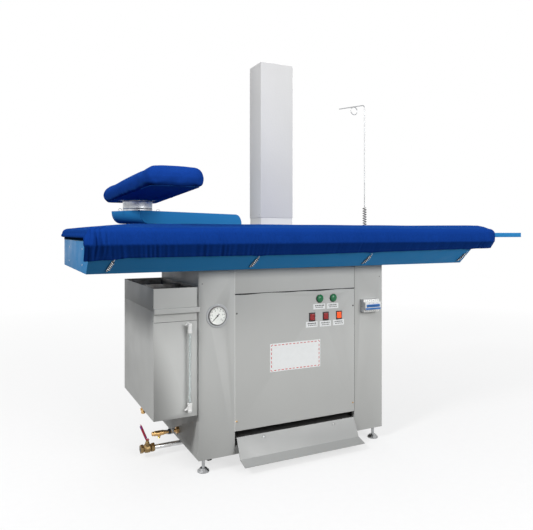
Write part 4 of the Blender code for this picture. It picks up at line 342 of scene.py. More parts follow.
@dataclass(frozen=True)
class CottonCloth:
    """Woven cotton: crossed yarns, soft sheen, random fading, fine creases and painted shade between the yarns."""

    name: str
    colour: Colour
    crease_stretch: Point = (1.0, 1.0, 0.16)
    crease_scale: float = 95.0
    crease_depth: float = 1.6 * MM
    yarn: float = 0.55 * MM

    def build(self) -> bpy.types.Material:
        """Build the material.

        Returns:
            The material.
        """
        sheet = FinishSheet(self.name)
        sheet.set(specular_ior_level=0.0, sheen_weight=0.14, sheen_roughness=0.35, sheen_tint=(0.1, 0.4, 1.0, 1.0))
        waves = 1 / (2 * self.yarn)
        yarns = []
        for direction in ("X", "Y", "Z"):
            joins = {"Vector": sheet.coords, "Scale": waves / 3.18, "Distortion": 0.4, "Detail": 1.0}
            wave = sheet.add("ShaderNodeTexWave", joins, wave_type="BANDS", bands_direction=direction)
            yarns.append(wave.outputs[1])
        weave = sheet.sum(sheet.sum(yarns[0], yarns[1]), yarns[2])
        fade = sheet.spread(sheet.noise(6.0, 4.0, distortion=0.4), 0, 0.4, 0.35, 0.75)
        base = sheet.blend(fade, self.colour, toned(self.colour, 1.22))
        dyed = sheet.spread(sheet.noise(260.0, 3.0, (1, 1, 0.4)), 0, 0.28, 0.4, 0.7)
        base = sheet.blend(dyed, base, toned(self.colour, 0.66))
        # Darker between the yarns: painted shade in the weave's openings.
        gap_shade = sheet.spread(weave, 0.22, 0, 0.7, 1.6)
        sheet.join(sheet.blend(gap_shade, base, toned(self.colour, 0.5)), "Base Color")
        sheet.join(sheet.spread(sheet.noise(30.0, 3.0), 0.72, 0.92), "Roughness")
        crease = sheet.noise(self.crease_scale, 2.5, self.crease_stretch, distortion=0.35)
        folds = sheet.bump(crease, 0.45, self.crease_depth)
        small = sheet.bump(sheet.noise(330.0, 2.0, (1, 1, 0.5)), 0.25, 0.4 * MM, folds)
        sheet.join(sheet.bump(weave, 0.35, 0.12 * MM, small), "Normal")
        return sheet.material


class Finish(Enum):
    """The finishes of this table."""

    CABINET = SprayedPaint("cabinet_paint", seen(184, 185, 183), 0.45, 0.02, gloss=0.14)
    # A darker colour than the cabinet paint: painted shade on the up-facing pedal; its scratches are wear.
    PEDAL = SprayedPaint("pedal_paint_shaded", seen(148, 149, 148), 0.42, 0.1, scratches=0.25)
    DUCT = SprayedPaint("duct_paint", seen(208, 208, 208), 0.45, 0.03, peel_scale=120.0, peel_depth=1.3 * MM, dust=0.05,
                        gloss=0.14)
    TEAL = SprayedPaint("teal_enamel", seen(44, 126, 184), 0.45, 0.0, 220.0, 0.12 * MM, 0.05, gloss=0.05)
    CLOTH = CottonCloth("royal_cotton", seen(17, 56, 134))
    BUCK_CLOTH = CottonCloth("buck_cotton", seen(20, 58, 138), (0.5, 0.5, 0.32), 70.0, 2.2 * MM)
    NAVY = CottonCloth("cover_underside", seen(34, 84, 160), (0.5, 0.5, 0.32), 70.0, 2.2 * MM)
    # Near-black blue cloth: painted shadow under the cover's hem at the tray's left end.
    HEM_SHADOW = CottonCloth("hem_shadow_edge", seen(10, 28, 44))
    THREAD = Plastic("hem_thread", seen(16, 48, 128), 0.75)
    ZINC = BareMetal("zinc_plate", (0.66, 0.67, 0.68, 1), (0.45, 0.43, 0.4, 1), 0.34)
    GALVANISED = BareMetal("galvanised_neck", (0.62, 0.64, 0.66, 1), (0.36, 0.37, 0.38, 1), 0.4, stain_share=0.8)
    SPRING = BareMetal("spring_wire", (0.42, 0.43, 0.44, 1), (0.2, 0.19, 0.18, 1), 0.3)
    STEEL = BareMetal("dull_steel", (0.2, 0.2, 0.2, 1), (0.11, 0.09, 0.08, 1), 0.5, grain_depth=0.2 * MM)
    BRASS = BareMetal("cast_brass", (0.62, 0.4, 0.17, 1), (0.3, 0.15, 0.07, 1), 0.36, grain_depth=0.15 * MM)
    BRONZE = BareMetal("dark_bronze", (0.3, 0.21, 0.1, 1), (0.12, 0.07, 0.03, 1), 0.45, grain_depth=0.2 * MM)
    GOLD = BareMetal("gilt_brass", (0.85, 0.6, 0.2, 1), (0.6, 0.38, 0.12, 1), 0.28)
    BLACK = Plastic("black_moulding", (0.018, 0.018, 0.02, 1), 0.42)
    # Moulding colour of the gauge flange, also used as painted shade on the breaker case's sides.
    GREY_AND_SIDE_SHADE = Plastic("grey_moulding_and_side_shade", seen(178, 180, 182), 0.45)
    WHITE = Plastic("white_moulding", seen(226, 226, 224), 0.4)
    BLUE = Plastic("blue_moulding", seen(30, 104, 176), 0.35)
    LEVER = Plastic("dipped_lever", seen(176, 30, 62), 0.45)
    VIOLET = Plastic("dipped_ends", seen(112, 52, 140), 0.45)
    ROCKER = Plastic("red_rocker", seen(140, 16, 20), 0.3)
    LIT_ROCKER = Plastic("lit_rocker", seen(244, 84, 26), 0.28, glow=0.35)
    LENS = Plastic("lamp_lens", seen(0, 108, 62), 0.12)
    RUBBER = Plastic("tyre_rubber", (0.025, 0.025, 0.026, 1), 0.75, grain_depth=0.2 * MM, handling=0.3)
    TUBE = Plastic("sight_tube", (0.86, 0.9, 0.9, 1), 0.08, clear=0.85, handling=0.05)
    GLASS = Plastic("gauge_glass", (0.97, 0.98, 0.98, 1), 0.03, clear=1.0, grain_depth=0.002 * MM, handling=0.0)
    DIAL = Plastic("dial_card", seen(236, 236, 232), 0.6, handling=0.04)
    PRINT = Plastic("dial_print", (0.02, 0.02, 0.02, 1), 0.6)
    STICKER = Plastic("blank_sticker", seen(224, 226, 226), 0.5, handling=0.1)
    BORDER = Plastic("sticker_border", seen(190, 52, 48), 0.5)
    # Near-black: painted shade in recesses, holes, grooves, seams and inside springs, and painted shadow under
    # overhanging edges.
    DARK = Plastic("shadow_gap", (0.01, 0.01, 0.011, 1), 0.9)

    @property
    def material(self) -> bpy.types.Material:
        """The finish's material, built when it is first asked for."""
        return bpy.data.materials.get(self.value.name) or self.value.build()


# Shapes


def body_of(node: str) -> str:
    """Name of the body that a CAD node rides on."""
    return frame["nodes"][node]["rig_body"]


def linked(name: str, data: bpy.types.ID) -> Piece:
    """A new object of a mesh, curve, light or camera, in the scene.

    Args:
        name: the object's name.
        data: what it holds.

    Returns:
        The object.
    """
    made = bpy.data.objects.new(name, data)
    bpy.context.scene.collection.objects.link(made)
    return made


def clad(mesh: bpy.types.Mesh, finish: Finish) -> None:
    """Give a mesh one finish in place of any that it has."""
    mesh.materials.clear()
    mesh.materials.append(finish.material)


def baked(piece: Piece) -> bpy.types.Mesh:
    """A plain mesh of a piece, with its curve or modifiers worked out."""
    graph = bpy.context.evaluated_depsgraph_get()
    return bpy.data.meshes.new_from_object(piece.evaluated_get(graph))


def places_of(mesh: bpy.types.Mesh) -> np.ndarray:
    """Places of a mesh's vertices.

    Args:
        mesh: the mesh.

    Returns:
        One row for each vertex.
    """
    places = np.empty(len(mesh.vertices) * 3)
    mesh.vertices.foreach_get("co", places)
    return places.reshape(-1, 3)


def as_piece(name: str, shape: bmesh.types.BMesh, finish: Finish, turn_out: bool = True) -> Piece:
    """Make an object of a bmesh.

    Args:
        name: the piece's name.
        shape: the bmesh, which is freed.
        finish: the piece's finish.
        turn_out: whether the faces are turned outwards first.

    Returns:
        The object, at the origin.
    """
    if turn_out:
        bmesh.ops.recalc_face_normals(shape, faces=shape.faces)
    mesh = bpy.data.meshes.new(name)
    shape.to_mesh(mesh)
    shape.free()
    mesh.materials.append(finish.material)
    return linked(name, mesh)


def smooth(piece: Piece, angle: float = 35.0) -> Piece:
    """Shade a piece smooth, but for edges sharper than an angle in degrees.

    Args:
        piece: the piece.
        angle: the angle.

    Returns:
        The piece.
    """
    piece.data.polygons.foreach_set("use_smooth", [True] * len(piece.data.polygons))
    piece.data.set_sharp_from_angle(angle=math.radians(angle))
    return piece


def flatten(piece: Piece, name: str) -> Piece:
    """Turn a live object, such as a curve or one with modifiers, into a plain mesh.

    Args:
        piece: the object, which is removed.
        name: the new object's name.

    Returns:
        The plain mesh object, at the origin.
    """
    mesh = baked(piece)
    mesh.transform(piece.matrix_world)
    bpy.data.objects.remove(piece)
    return linked(name, mesh)


def settle(piece: Piece, slot: str, *nodes: str, body: str = "table") -> Piece:
    """Let a piece ride on a body and stand for nodes.

    Args:
        piece: the finished piece.
        slot: the record's material slot; not used.
        nodes: the CAD nodes that it stands for.
        body: the body that carries it.

    Returns:
        The piece.
    """
    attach(piece, body)
    if nodes:
        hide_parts(*nodes)
    LOG.info("%s rides on %s", piece.name, body)
    return piece


def soften_edges(piece: Piece, edge: float, steps: int = 2, angle: float = 40.0) -> Piece:
    """Round a piece's sharp edges.

    Args:
        piece: the piece.
        edge: the rounding's width.
        steps: its segments.
        angle: least angle of an edge that is rounded, in degrees.

    Returns:
        The piece, shaded smooth.
    """
    piece.data.polygons.foreach_set("use_smooth", [True] * len(piece.data.polygons))
    bevel = piece.modifiers.new("rounded_edges", "BEVEL")
    bevel.width = edge
    bevel.segments = steps
    bevel.limit_method = "ANGLE"
    bevel.angle_limit = math.radians(angle)
    bevel.harden_normals = True
    bevel.use_clamp_overlap = True
    return piece


def eased(node: str, name: str, finish: Finish, slot: str, edge: float) -> Piece:
    """A CAD node's copy, merged and with its edges rounded, in the node's place.

    Args:
        node: the CAD node.
        name: the new piece's name.
        finish: its finish.
        slot: the record's material slot.
        edge: width of the rounding.

    Returns:
        The piece.
    """
    shape = bmesh.new()
    shape.from_mesh(frame["nodes"][node].data)
    bmesh.ops.remove_doubles(shape, verts=shape.verts, dist=0.02 * MM)
    bmesh.ops.dissolve_limit(shape, angle_limit=math.radians(0.4), verts=shape.verts, edges=shape.edges)
    piece = as_piece(name, shape, finish, turn_out=False)
    soften_edges(piece, edge)
    return settle(piece, slot, node, body=body_of(node))


def dress(finish: Finish, *nodes: str) -> None:
    """Give CAD nodes that stay as they are a finish.

    Args:
        finish: the finish.
        nodes: the nodes.
    """
    for node in nodes:
        clad(frame["nodes"][node].data, finish)
        LOG.info("%s keeps its CAD shape", node)


def turn_to(axis: Axis) -> Matrix:
    """Turn that brings +Z onto an axis."""
    return Vector((0, 0, 1)).rotation_difference(Vector(axis.value)).to_matrix().to_4x4()


def lathe(name: str, profile: Sequence[tuple[float, float]], centre: Point, finish: Finish, axis: Axis = Axis.Z,
          sides: int = 48, angle: float = 35.0) -> Piece:
    """Turn a profile round an axis.

    Args:
        name: the piece's name.
        profile: pairs of radius and distance along the axis; a radius of 0 closes an end.
        centre: the point that distances are measured from.
        finish: its finish.
        axis: the axis.
        sides: its sides.
        angle: edges sharper than this stay sharp.

    Returns:
        The closed piece.
    """
    shape = bmesh.new()
    rings = []
    for radius, along in profile:
        if radius == 0:
            rings.append([shape.verts.new((0, 0, along))])
            continue
        turns = [2 * math.pi * index / sides for index in range(sides)]
        rings.append([shape.verts.new((radius * math.cos(t), radius * math.sin(t), along)) for t in turns])
    loops = list(zip(rings, rings[1:]))
    if len(rings[0]) > 1 and len(rings[-1]) > 1:
        loops.append((rings[-1], rings[0]))
    for first, second in loops:
        for index in range(sides):
            after = (index + 1) % sides
            corners = [first[index % len(first)], first[after % len(first)],
                       second[after % len(second)], second[index % len(second)]]
            shape.faces.new(list(dict.fromkeys(corners)))
    bmesh.ops.transform(shape, matrix=Matrix.Translation(centre) @ turn_to(axis), verts=shape.verts)
    return smooth(as_piece(name, shape, finish), angle)


def turned(name: str, profile: Sequence[tuple[float, float]], at: Point, finish: Finish, axis: Axis,
           sides: int = 32) -> Piece:
    """A lathe piece whose profile is in millimetres."""
    return lathe(name, [(radius * MM, along * MM) for radius, along in profile], at, finish, axis, sides)


def tube(name: str, points: Sequence[Sequence[float]], radius: float, finish: Finish, round_steps: int = 3) -> Piece:
    """A round tube or wire with closed ends.

    Args:
        name: the piece's name.
        points: points along its middle.
        radius: its radius.
        finish: its finish.
        round_steps: how finely a quarter of its section is divided.

    Returns:
        The tube.
    """
    curve = bpy.data.curves.new(name, "CURVE")
    curve.dimensions = "3D"
    curve.bevel_depth = radius
    curve.bevel_resolution = round_steps
    curve.use_fill_caps = True
    spline = curve.splines.new("POLY")
    spline.points.add(len(points) - 1)
    for target, point in zip(spline.points, points):
        target.co = (*point, 1)
    piece = flatten(linked(name + "_route", curve), name)
    clad(piece.data, finish)
    return smooth(piece, 50)


def slab(name: str, low: Point, high: Point, finish: Finish, edge: float = 0.6 * MM, steps: int = 2) -> Piece:
    """A block between two corners, with rounded edges.

    Args:
        name: the piece's name.
        low: its lowest corner.
        high: its highest corner.
        finish: its finish.
        edge: width of the rounding.
        steps: segments of the rounding.

    Returns:
        The block.
    """
    shape = bmesh.new()
    bmesh.ops.create_cube(shape, size=1)
    middle = (Vector(low) + Vector(high)) / 2
    size = Vector(high) - Vector(low)
    bmesh.ops.transform(shape, matrix=Matrix.Translation(middle) @ Matrix.Diagonal((*size, 1)), verts=shape.verts)
    return soften_edges(as_piece(name, shape, finish), edge, steps)


def join(name: str, *pieces: Piece) -> Piece:
    """Join pieces into one mesh.

    Args:
        name: the new piece's name.
        pieces: the pieces, live or plain, which are removed.

    Returns:
        The new piece, with all their materials.
    """
    shape = bmesh.new()
    materials: list[bpy.types.Material] = []
    for piece in pieces:
        mesh = baked(piece)
        places = {}
        for index, material in enumerate(mesh.materials):
            if material not in materials:
                materials.append(material)
            places[index] = materials.index(material)
        for polygon in mesh.polygons:
            polygon.material_index = places.get(polygon.material_index, 0)
        shape.from_mesh(mesh)
        bpy.data.objects.remove(piece)
    mesh = bpy.data.meshes.new(name)
    shape.to_mesh(mesh)
    shape.free()
    for material in materials:
        mesh.materials.append(material)
    return linked(name, mesh)


class RepeatTree(NodeSheet):
    """A Geometry Nodes tree with named sizes, run once on points or a route."""

    def __init__(self, name: str) -> None:
        """Start a tree of a name.

        Args:
            name: the tree's name.
        """
        super().__init__(bpy.data.node_groups.new(name, "GeometryNodeTree"))
        self.tree.is_modifier = True
        self.tree.interface.new_socket("Geometry", in_out="INPUT", socket_type="NodeSocketGeometry")
        self.tree.interface.new_socket("Geometry", in_out="OUTPUT", socket_type="NodeSocketGeometry")
        self.entry = self.add("NodeGroupInput", {})
        self.exit = self.add("NodeGroupOutput", {})
        self.sizes: dict[str, float] = {}

    def size(self, name: str, value: float) -> Socket:
        """Add a named input and give its socket inside the tree.

        Args:
            name: the input's name.
            value: its value when the tree is run.

        Returns:
            The socket.
        """
        socket = self.tree.interface.new_socket(name, in_out="INPUT", socket_type="NodeSocketFloat")
        self.sizes[socket.identifier] = value
        return next(output for output in self.entry.outputs if output.identifier == socket.identifier)

    def geo(self, kind: str, joins: dict, **settings: object) -> Socket:
        """Add a geometry node and give its first output."""
        return self.out("GeometryNode" + kind, joins, **settings)

    def vector(self, joins: dict) -> Socket:
        """A vector of values or sockets, by the number of their axis."""
        return self.out("ShaderNodeCombineXYZ", joins)

    def paint(self, geometry: Socket, finish: Finish) -> Socket:
        """Give geometry inside the tree a finish."""
        return self.geo("SetMaterial", {"Geometry": geometry, "Material": finish.material})

    def both(self, *parts: Socket) -> Socket:
        """Join geometries inside the tree.

        Args:
            parts: their sockets.

        Returns:
            The joined geometry.
        """
        node = self.add("GeometryNodeJoinGeometry", {})
        for part in reversed(parts):
            self.tree.links.new(part, node.inputs[0])
        return node.outputs[0]

    def bar(self, length: float, thick: float, width: float) -> Socket:
        """A block with named sizes, its length along X."""
        sides = {0: self.size("Length", length), 1: self.size("Thickness", thick), 2: self.size("Width", width)}
        return self.geo("MeshCube", {"Size": self.vector(sides)})

    def along(self, instance: Socket, pitch: Socket) -> Socket:
        """Instances at a pitch along the tree's route, turned along it.

        Args:
            instance: the geometry that repeats.
            pitch: distance from one to the next.

        Returns:
            The row.
        """
        route = self.geo("MeshToCurve", {0: self.entry.outputs[0]})
        route = self.geo("ResampleCurve", {"Curve": route, "Length": pitch}, mode="LENGTH")
        turn = self.out("FunctionNodeAlignEulerToVector", {"Vector": self.geo("InputTangent", {})}, axis="X")
        return self.geo("InstanceOnPoints", {"Points": route, "Instance": instance, "Rotation": turn})

    def run(self, name: str, geometry: Socket, points: Sequence[Sequence[float]], closed: bool = False,
            finish: Optional[Finish] = None) -> Piece:
        """Run the tree and keep its result as a plain mesh.

        Args:
            name: the piece's name.
            geometry: the socket with the finished geometry.
            points: the points that the tree starts from.
            closed: whether they are a closed route, and not single points.
            finish: one finish for all of it, if it hasn't several.

        Returns:
            The piece, at the origin.
        """
        real = self.geo("RealizeInstances", {0: geometry})
        if finish is not None:
            real = self.paint(real, finish)
        self.tree.links.new(real, self.exit.inputs[0])
        edges = [(index, (index + 1) % len(points)) for index in range(len(points))] if closed else []
        mesh = bpy.data.meshes.new(name + "_points")
        mesh.from_pydata([tuple(point) for point in points], edges, [])
        holder = linked(name + "_points", mesh)
        modifier = holder.modifiers.new("repeat", "NODES")
        modifier.node_group = self.tree
        for identifier, value in self.sizes.items():
            modifier[identifier] = value
        return smooth(flatten(holder, name), 40)


FASTENER_SLOTS = {Finish.STEEL: "dark_steel", Finish.BRASS: "brass"}


def screws(name: str, places: Sequence[Point], facing: Facing, head: float, finish: Finish = Finish.ZINC) -> None:
    """Cross-head screws on the table's body, one at each place, by Geometry Nodes.

    Args:
        name: the piece's name.
        places: where each head meets its sheet.
        facing: the way the heads face.
        head: the head's radius.
        finish: the heads' finish.
    """
    tree = RepeatTree(name + "_tree")
    radius = tree.size("Head radius", head)
    rise = tree.size("Head rise", head * 0.55)
    dome = tree.geo("MeshUVSphere", {"Segments": 20, "Rings": 10, "Radius": radius})
    dome = tree.geo("Transform", {"Geometry": dome, "Scale": (1.0, 1.0, 0.5)})
    dome = tree.paint(dome, finish)
    wide, thin = tree.sum(radius, 1.15, "MULTIPLY"), tree.sum(radius, 0.24, "MULTIPLY")
    up = tree.vector({2: tree.sum(rise, 0.47, "MULTIPLY")})
    slots = []
    for sides in ((wide, thin), (thin, wide)):
        cube = tree.geo("MeshCube", {"Size": tree.vector({0: sides[0], 1: sides[1], 2: rise})})
        slots.append(tree.geo("Transform", {"Geometry": cube, "Translation": up}))
    # The cross is a near-black bar set into the head: painted shade in its recess.
    cross = tree.paint(tree.both(*slots), Finish.DARK)
    joins = {"Points": tree.entry.outputs[0], "Instance": tree.both(dome, cross), "Rotation": facing.value}
    settle(tree.run(name, tree.geo("InstanceOnPoints", joins), places), FASTENER_SLOTS.get(finish, "zinc"))


def coil(name: str, start: Sequence[float], end: Sequence[float], radius: float, wire: float, curls: float,
         finish: Finish) -> Piece:
    """A coil spring between two points, by Geometry Nodes.

    Args:
        name: the piece's name.
        start: middle of its first curl.
        end: middle of its last curl.
        radius: radius to the wire's middle.
        wire: the wire's radius.
        curls: number of curls.
        finish: its finish.

    Returns:
        The coil.
    """
    tree = RepeatTree(name + "_tree")
    turning = tree.size("Radius", radius)
    joins = {"Resolution": 20, "Rotations": tree.size("Curls", curls), "Start Radius": turning, "End Radius": turning,
             "Height": tree.size("Height", (Vector(end) - Vector(start)).length)}
    spiral = tree.geo("CurveSpiral", joins)
    ring = tree.geo("CurvePrimitiveCircle", {"Resolution": 10, "Radius": tree.size("Wire radius", wire)})
    solid = tree.geo("CurveToMesh", {"Curve": spiral, "Profile Curve": ring, "Fill Caps": True})
    turn = Vector((0, 0, 1)).rotation_difference(Vector(end) - Vector(start)).to_euler()
    joins = {"Geometry": solid, "Translation": Vector(start), "Rotation": turn}
    return tree.run(name, tree.geo("Transform", joins), [tuple(start)], finish=finish)


# Padded covers


def rounded_plan(low: tuple[float, float], high: tuple[float, float], radii: Sequence[float],
                 parts: Sequence[int], steps: int) -> np.ndarray:
    """Points round a rectangle with rounded corners, anticlockwise from its front left corner.

    Args:
        low: its lowest X and Y.
        high: its highest X and Y.
        radii: radii of the front left, front right, back right and back left corners.
        parts: parts of the front, right, back and left sides.
        steps: segments of each corner.

    Returns:
        The points, one row each.
    """
    signs = ((-1, -1), (1, -1), (1, 1), (-1, 1))
    corners = []
    for index, ((sx, sy), radius) in enumerate(zip(signs, radii)):
        centre = np.array([(low, high)[sx > 0][0] - sx * radius, (low, high)[sy > 0][1] - sy * radius])
        start = math.pi + math.pi / 2 * index
        angles = [start + math.pi / 2 * step / steps for step in range(steps + 1)]
        corners.append([centre + radius * np.array([math.cos(a), math.sin(a)]) for a in angles])
    points = []
    for index, corner in enumerate(corners):
        points += corner
        after = corners[(index + 1) % 4][0]
        for part in range(1, parts[index]):
            points.append(corner[-1] + (after - corner[-1]) * part / parts[index])
    return np.array(points)


def ripple(lengths: np.ndarray, whole: float, short: float, long: float, seed: int) -> np.ndarray:
    """Random closed ripple along a hem, about -1 to 1, from waves of a range of lengths.

    Args:
        lengths: distances along the hem.
        whole: the hem's whole length.
        short: shortest wave.
        long: longest wave.
        seed: seed of the random phases.

    Returns:
        The ripple at each distance.
    """
    random = np.random.default_rng(seed)
    counts = np.unique(np.linspace(whole / long, whole / short, 28).astype(int))
    total = np.zeros_like(lengths)
    for count in counts:
        total += np.cos(2 * math.pi * count * lengths / whole + random.uniform(0, 2 * math.pi))
    return total / math.sqrt(len(counts))


def loft(name: str, rings: Sequence[np.ndarray], finish: Finish, capped: bool = True) -> Piece:
    """Join rings of equal count into one closed form.

    Args:
        name: the piece's name.
        rings: arrays of points, from one end to the other.
        finish: the finish.
        capped: True for a cap at each end, False for a band whose last ring meets its first.

    Returns:
        The piece, facing outwards.
    """
    count = len(rings[0])
    faces = []
    for ring in range(len(rings) - 1 if capped else len(rings)):
        base, above = ring * count, (ring + 1) % len(rings) * count
        for index in range(count):
            after = (index + 1) % count
            faces.append((base + index, base + after, above + after, above + index))
    if capped:
        faces.append(tuple(reversed(range(count))))
        faces.append(tuple(range((len(rings) - 1) * count, len(rings) * count)))
    mesh = bpy.data.meshes.new(name)
    mesh.from_pydata(np.concatenate(rings).tolist(), [], faces)
    shape = bmesh.new()
    shape.from_mesh(mesh)
    bpy.data.meshes.remove(mesh)
    return smooth(as_piece(name, shape, finish), 75)


def swell(piece: Piece, pressure: float, cap: float, voxel: float, frames: int) -> None:
    """Swell a pad by cloth simulation, so that its cover draws tight over the stuffing.

    Args:
        piece: the pad, whose mesh is replaced by the swollen one.
        pressure: pressure inside the cover.
        cap: furthest that a point may move.
        voxel: size of the even mesh that is simulated.
        frames: length of the simulation.
    """
    bpy.context.view_layer.objects.active = piece
    remesh = piece.modifiers.new("even", "REMESH")
    remesh.mode = "VOXEL"
    remesh.voxel_size = voxel
    even_out = piece.modifiers.new("even_out", "SMOOTH")
    even_out.factor = 0.5
    even_out.iterations = 3
    even = baked(piece)
    piece.modifiers.clear()
    even.materials.clear()
    even.materials.append(piece.data.materials[0])
    piece.data = even
    rest = places_of(even)
    cloth = piece.modifiers.new("swelling", "CLOTH")
    settings = cloth.settings
    settings.quality = 6
    settings.mass = 0.3
    settings.tension_stiffness = 15
    settings.compression_stiffness = 6
    settings.shear_stiffness = 4
    settings.bending_stiffness = 0.4
    settings.use_pressure = True
    settings.uniform_pressure_force = pressure
    settings.shrink_min = -0.02
    settings.effector_weights.gravity = 0
    cloth.collision_settings.use_collision = False
    cloth.point_cache.frame_start = 1
    cloth.point_cache.frame_end = frames
    scene = bpy.context.scene
    for number in range(1, frames + 1):
        scene.frame_set(number)
    swollen = baked(piece)
    piece.modifiers.remove(cloth)
    scene.frame_set(1)
    step = places_of(swollen) - rest
    size = np.linalg.norm(step, axis=1, keepdims=True)
    step *= np.minimum(1, cap / np.maximum(size, 1e-9))
    swollen.vertices.foreach_set("co", (rest + step).ravel())
    piece.data = swollen
    smooth(piece, 75)


@dataclass
class TableCover:
    """The padded cotton cover of the table top, hooked down over the tray's edge."""

    left: float = -0.3933
    right: float = 1.3393
    front: float = -0.1543
    back: float = 0.5543
    edge: float = 6 * MM
    cloth: float = 2 * MM
    top: float = 0.8706
    crown: float = 15 * MM
    shoulder: float = 20 * MM
    ceiling: float = 0.8536
    crease: float = 0.816
    slope: float = 98 / 93
    nose: float = 95 * MM
    hem_front: float = 0.775
    hem_back: float = 0.8
    hem_left: float = 0.8365
    droop: float = 9 * MM
    sag: float = 6 * MM
    rise: float = 11 * MM
    hooks: Sequence[float] = (-0.312, 0.183, 0.668, 1.168)
    parts: Sequence[int] = (560, 110, 400, 130)
    steps: int = 14
    hem_line: list[Point] = field(default_factory=list)

    def plan(self, inset: float) -> np.ndarray:
        """The cover's outline, drawn in by inset.

        Args:
            inset: how far it is drawn in.

        Returns:
            Its points, off the cabinet's corner.
        """
        square = min(0.3 * MM + abs(self.edge - inset), self.shoulder)
        nose = max(self.nose - inset, self.nose / 4)
        low = (self.left + inset, self.front + inset)
        high = (self.right - inset, self.back - inset)
        return rounded_plan(low, high, (square, nose, nose, square), self.parts, self.steps)

    @staticmethod
    def raised(plan: np.ndarray, height: np.ndarray) -> np.ndarray:
        """An outline's points at their heights, in the scene's frame."""
        return np.stack([plan[:, 0] + SHIFT_X, plan[:, 1] + SHIFT_Y, height], 1)

    def hem(self, plan: np.ndarray) -> np.ndarray:
        """Height of the hem.

        Args:
            plan: the points of an outline.

        Returns:
            A height for each of them.
        """
        x, y = plan[:, 0], plan[:, 1]
        along = np.clip((x - self.left - self.edge) / 0.12, 0, 1)
        across = np.clip((y - self.front) / (self.back - self.front), 0, 1)
        height = self.hem_front + (self.hem_back - self.hem_front) * across
        height += self.rise * (1 - across) * np.clip((x - 0.4) / 0.787, 0, 1)
        height -= self.droop * (1 - along) * (1 - across)
        for hook in self.hooks:
            height -= 2.5 * MM * np.exp(-((x - hook) / 0.02) ** 2) * (y < 0)
        end = np.clip((y - self.front - 0.012) / 0.055, 0, 1)
        end = end * end * (3 - 2 * end) * np.clip((self.left + 0.12 - x) / 0.08, 0, 1) * (y > self.front + 0.01)
        return height + (self.hem_left - height) * end

    def rings(self) -> list[np.ndarray]:
        """Rings of the cover.

        Returns:
            Rings from under the pad, down inside the skirt, and up over the top.
        """
        base = self.plan(0)
        hem = self.hem(base)
        crease = np.maximum(self.crease, hem + 2 * MM)
        wall_top = self.top - self.shoulder
        ahead = np.roll(base, -1, 0) - np.roll(base, 1, 0)
        outward = np.stack([ahead[:, 1], -ahead[:, 0]], 1) / np.linalg.norm(ahead, axis=1, keepdims=True)
        lengths = np.concatenate([[0], np.cumsum(np.linalg.norm(np.diff(base, axis=0), axis=1))])
        whole = lengths[-1] + np.linalg.norm(base[0] - base[-1])
        front = 1 - np.clip((base[:, 1] - self.front) / self.nose, 0, 1)
        away = (lengths + whole / 2) % whole - whole / 2
        near = np.exp(-(away / 0.055) ** 2)
        busy = 0.7 + 2.0 * np.exp(-((away - 0.17) / 0.2) ** 2)
        end = np.clip((self.left + 0.03 - base[:, 0]) / 0.02, 0, 1)
        rings = []

        def ring(inset: float, height: np.ndarray, down: float) -> np.ndarray:
            """One ring of the skirt, with its folds.

            Args:
                inset: how far the outline is drawn in.
                height: its height at each point.
                down: 0 at the shoulder and 1 at the hem.

            Returns:
                The ring's points.
            """
            plan = self.plan(inset) if inset else base
            under = np.maximum(crease - height, 0) * (crease <= self.crease + 1e-6)
            lean = lengths + 0.3 * (height - self.top)
            fine = ripple(lean, whole, 0.013, 0.03, 3) * np.clip(ripple(lengths, whole, 0.3, 1.6, 5) + 0.7, 0.7, 1.5)
            broad = ripple(lean, whole, 0.045, 0.16, 8)
            folds = 0.95 * MM * fine * (0.4 + 0.6 * down) * busy + 1.4 * MM * broad * down
            pleats = np.cos(2 * math.pi * away / 0.0165 + 0.5) + 0.45 * np.cos(2 * math.pi * away / 0.0102)
            folds += 4.2 * MM * near * math.sin(math.pi * (0.12 + 0.7 * down)) * pleats
            bulge = 2.2 * MM * math.sin(math.pi * min(1.0, down * 1.4)) if down < 0.72 else 0.0
            offset = outward * (folds + bulge + 5 * MM * end * math.sin(math.pi * min(1.0, down * 0.9)))[:, None]
            height = self.sunk(plan[:, 0], height)
            plan = plan + offset
            plan[:, 1] += under * self.slope * front
            return self.raised(plan, height)

        flat = self.plan(self.edge)
        level = np.full(len(base), self.ceiling)
        rings.append(self.raised(flat, level))
        rings.append(ring(self.cloth, level, 0.1))
        rings.append(ring(self.cloth, crease, 0.6))
        for share in (0.5, 0.12):
            rings.append(ring(self.cloth, hem + (crease - hem) * share, 1 - 0.4 * share))
        rings.append(ring(self.cloth / 2, hem - 0.4 * MM, 1.0))
        outer_rows = 13
        for row in range(outer_rows):
            share = row / outer_rows
            rings.append(ring(0, hem + (crease - hem) * share, 1 - 0.4 * share))
            if row == 3:
                self.hem_line = [tuple(point) for point in rings[-1]]
        wall_rows = 8
        for row in range(wall_rows):
            share = row / wall_rows
            rings.append(ring(0, crease + (wall_top - crease) * share, 0.6 * (1 - share) + 0.12 * share))
        for row in range(9):
            angle = math.pi / 2 * row / 8
            inset = self.shoulder * (1 - math.cos(angle))
            height = np.full(len(base), self.top - self.shoulder * (1 - math.sin(angle)))
            rings.append(ring(inset, height, 0.12 * (1 - row / 8)))
        crown_rows = 12
        for row in range(1, crown_rows + 1):
            share = row / crown_rows
            inset = self.shoulder + 0.288 * share
            plan = self.plan(inset)
            steep = 1.35 + 4.6 * np.clip((plan[:, 0] - self.right + 0.3) / 0.3, 0, 1)
            height = self.top + self.crown * np.sin(math.pi / 2 * np.minimum(1.0, share * steep))
            wave = 0.35 * MM * np.sin(plan[:, 0] * 23 + 2 * np.sin(plan[:, 1] * 11)) * math.sin(math.pi * share)
            height = self.sunk(plan[:, 0], height + wave)
            rings.append(self.raised(plan, height))
        return rings

    def sunk(self, x: np.ndarray, height: np.ndarray) -> np.ndarray:
        """Heights over the skirt, let down towards the cover's nose."""
        share = np.clip((height - self.top + self.shoulder) / (self.shoulder + self.crown), 0, 1)
        return height - self.sag * share * np.clip((x - self.right + 0.075) / 0.07, 0, 1) ** 2

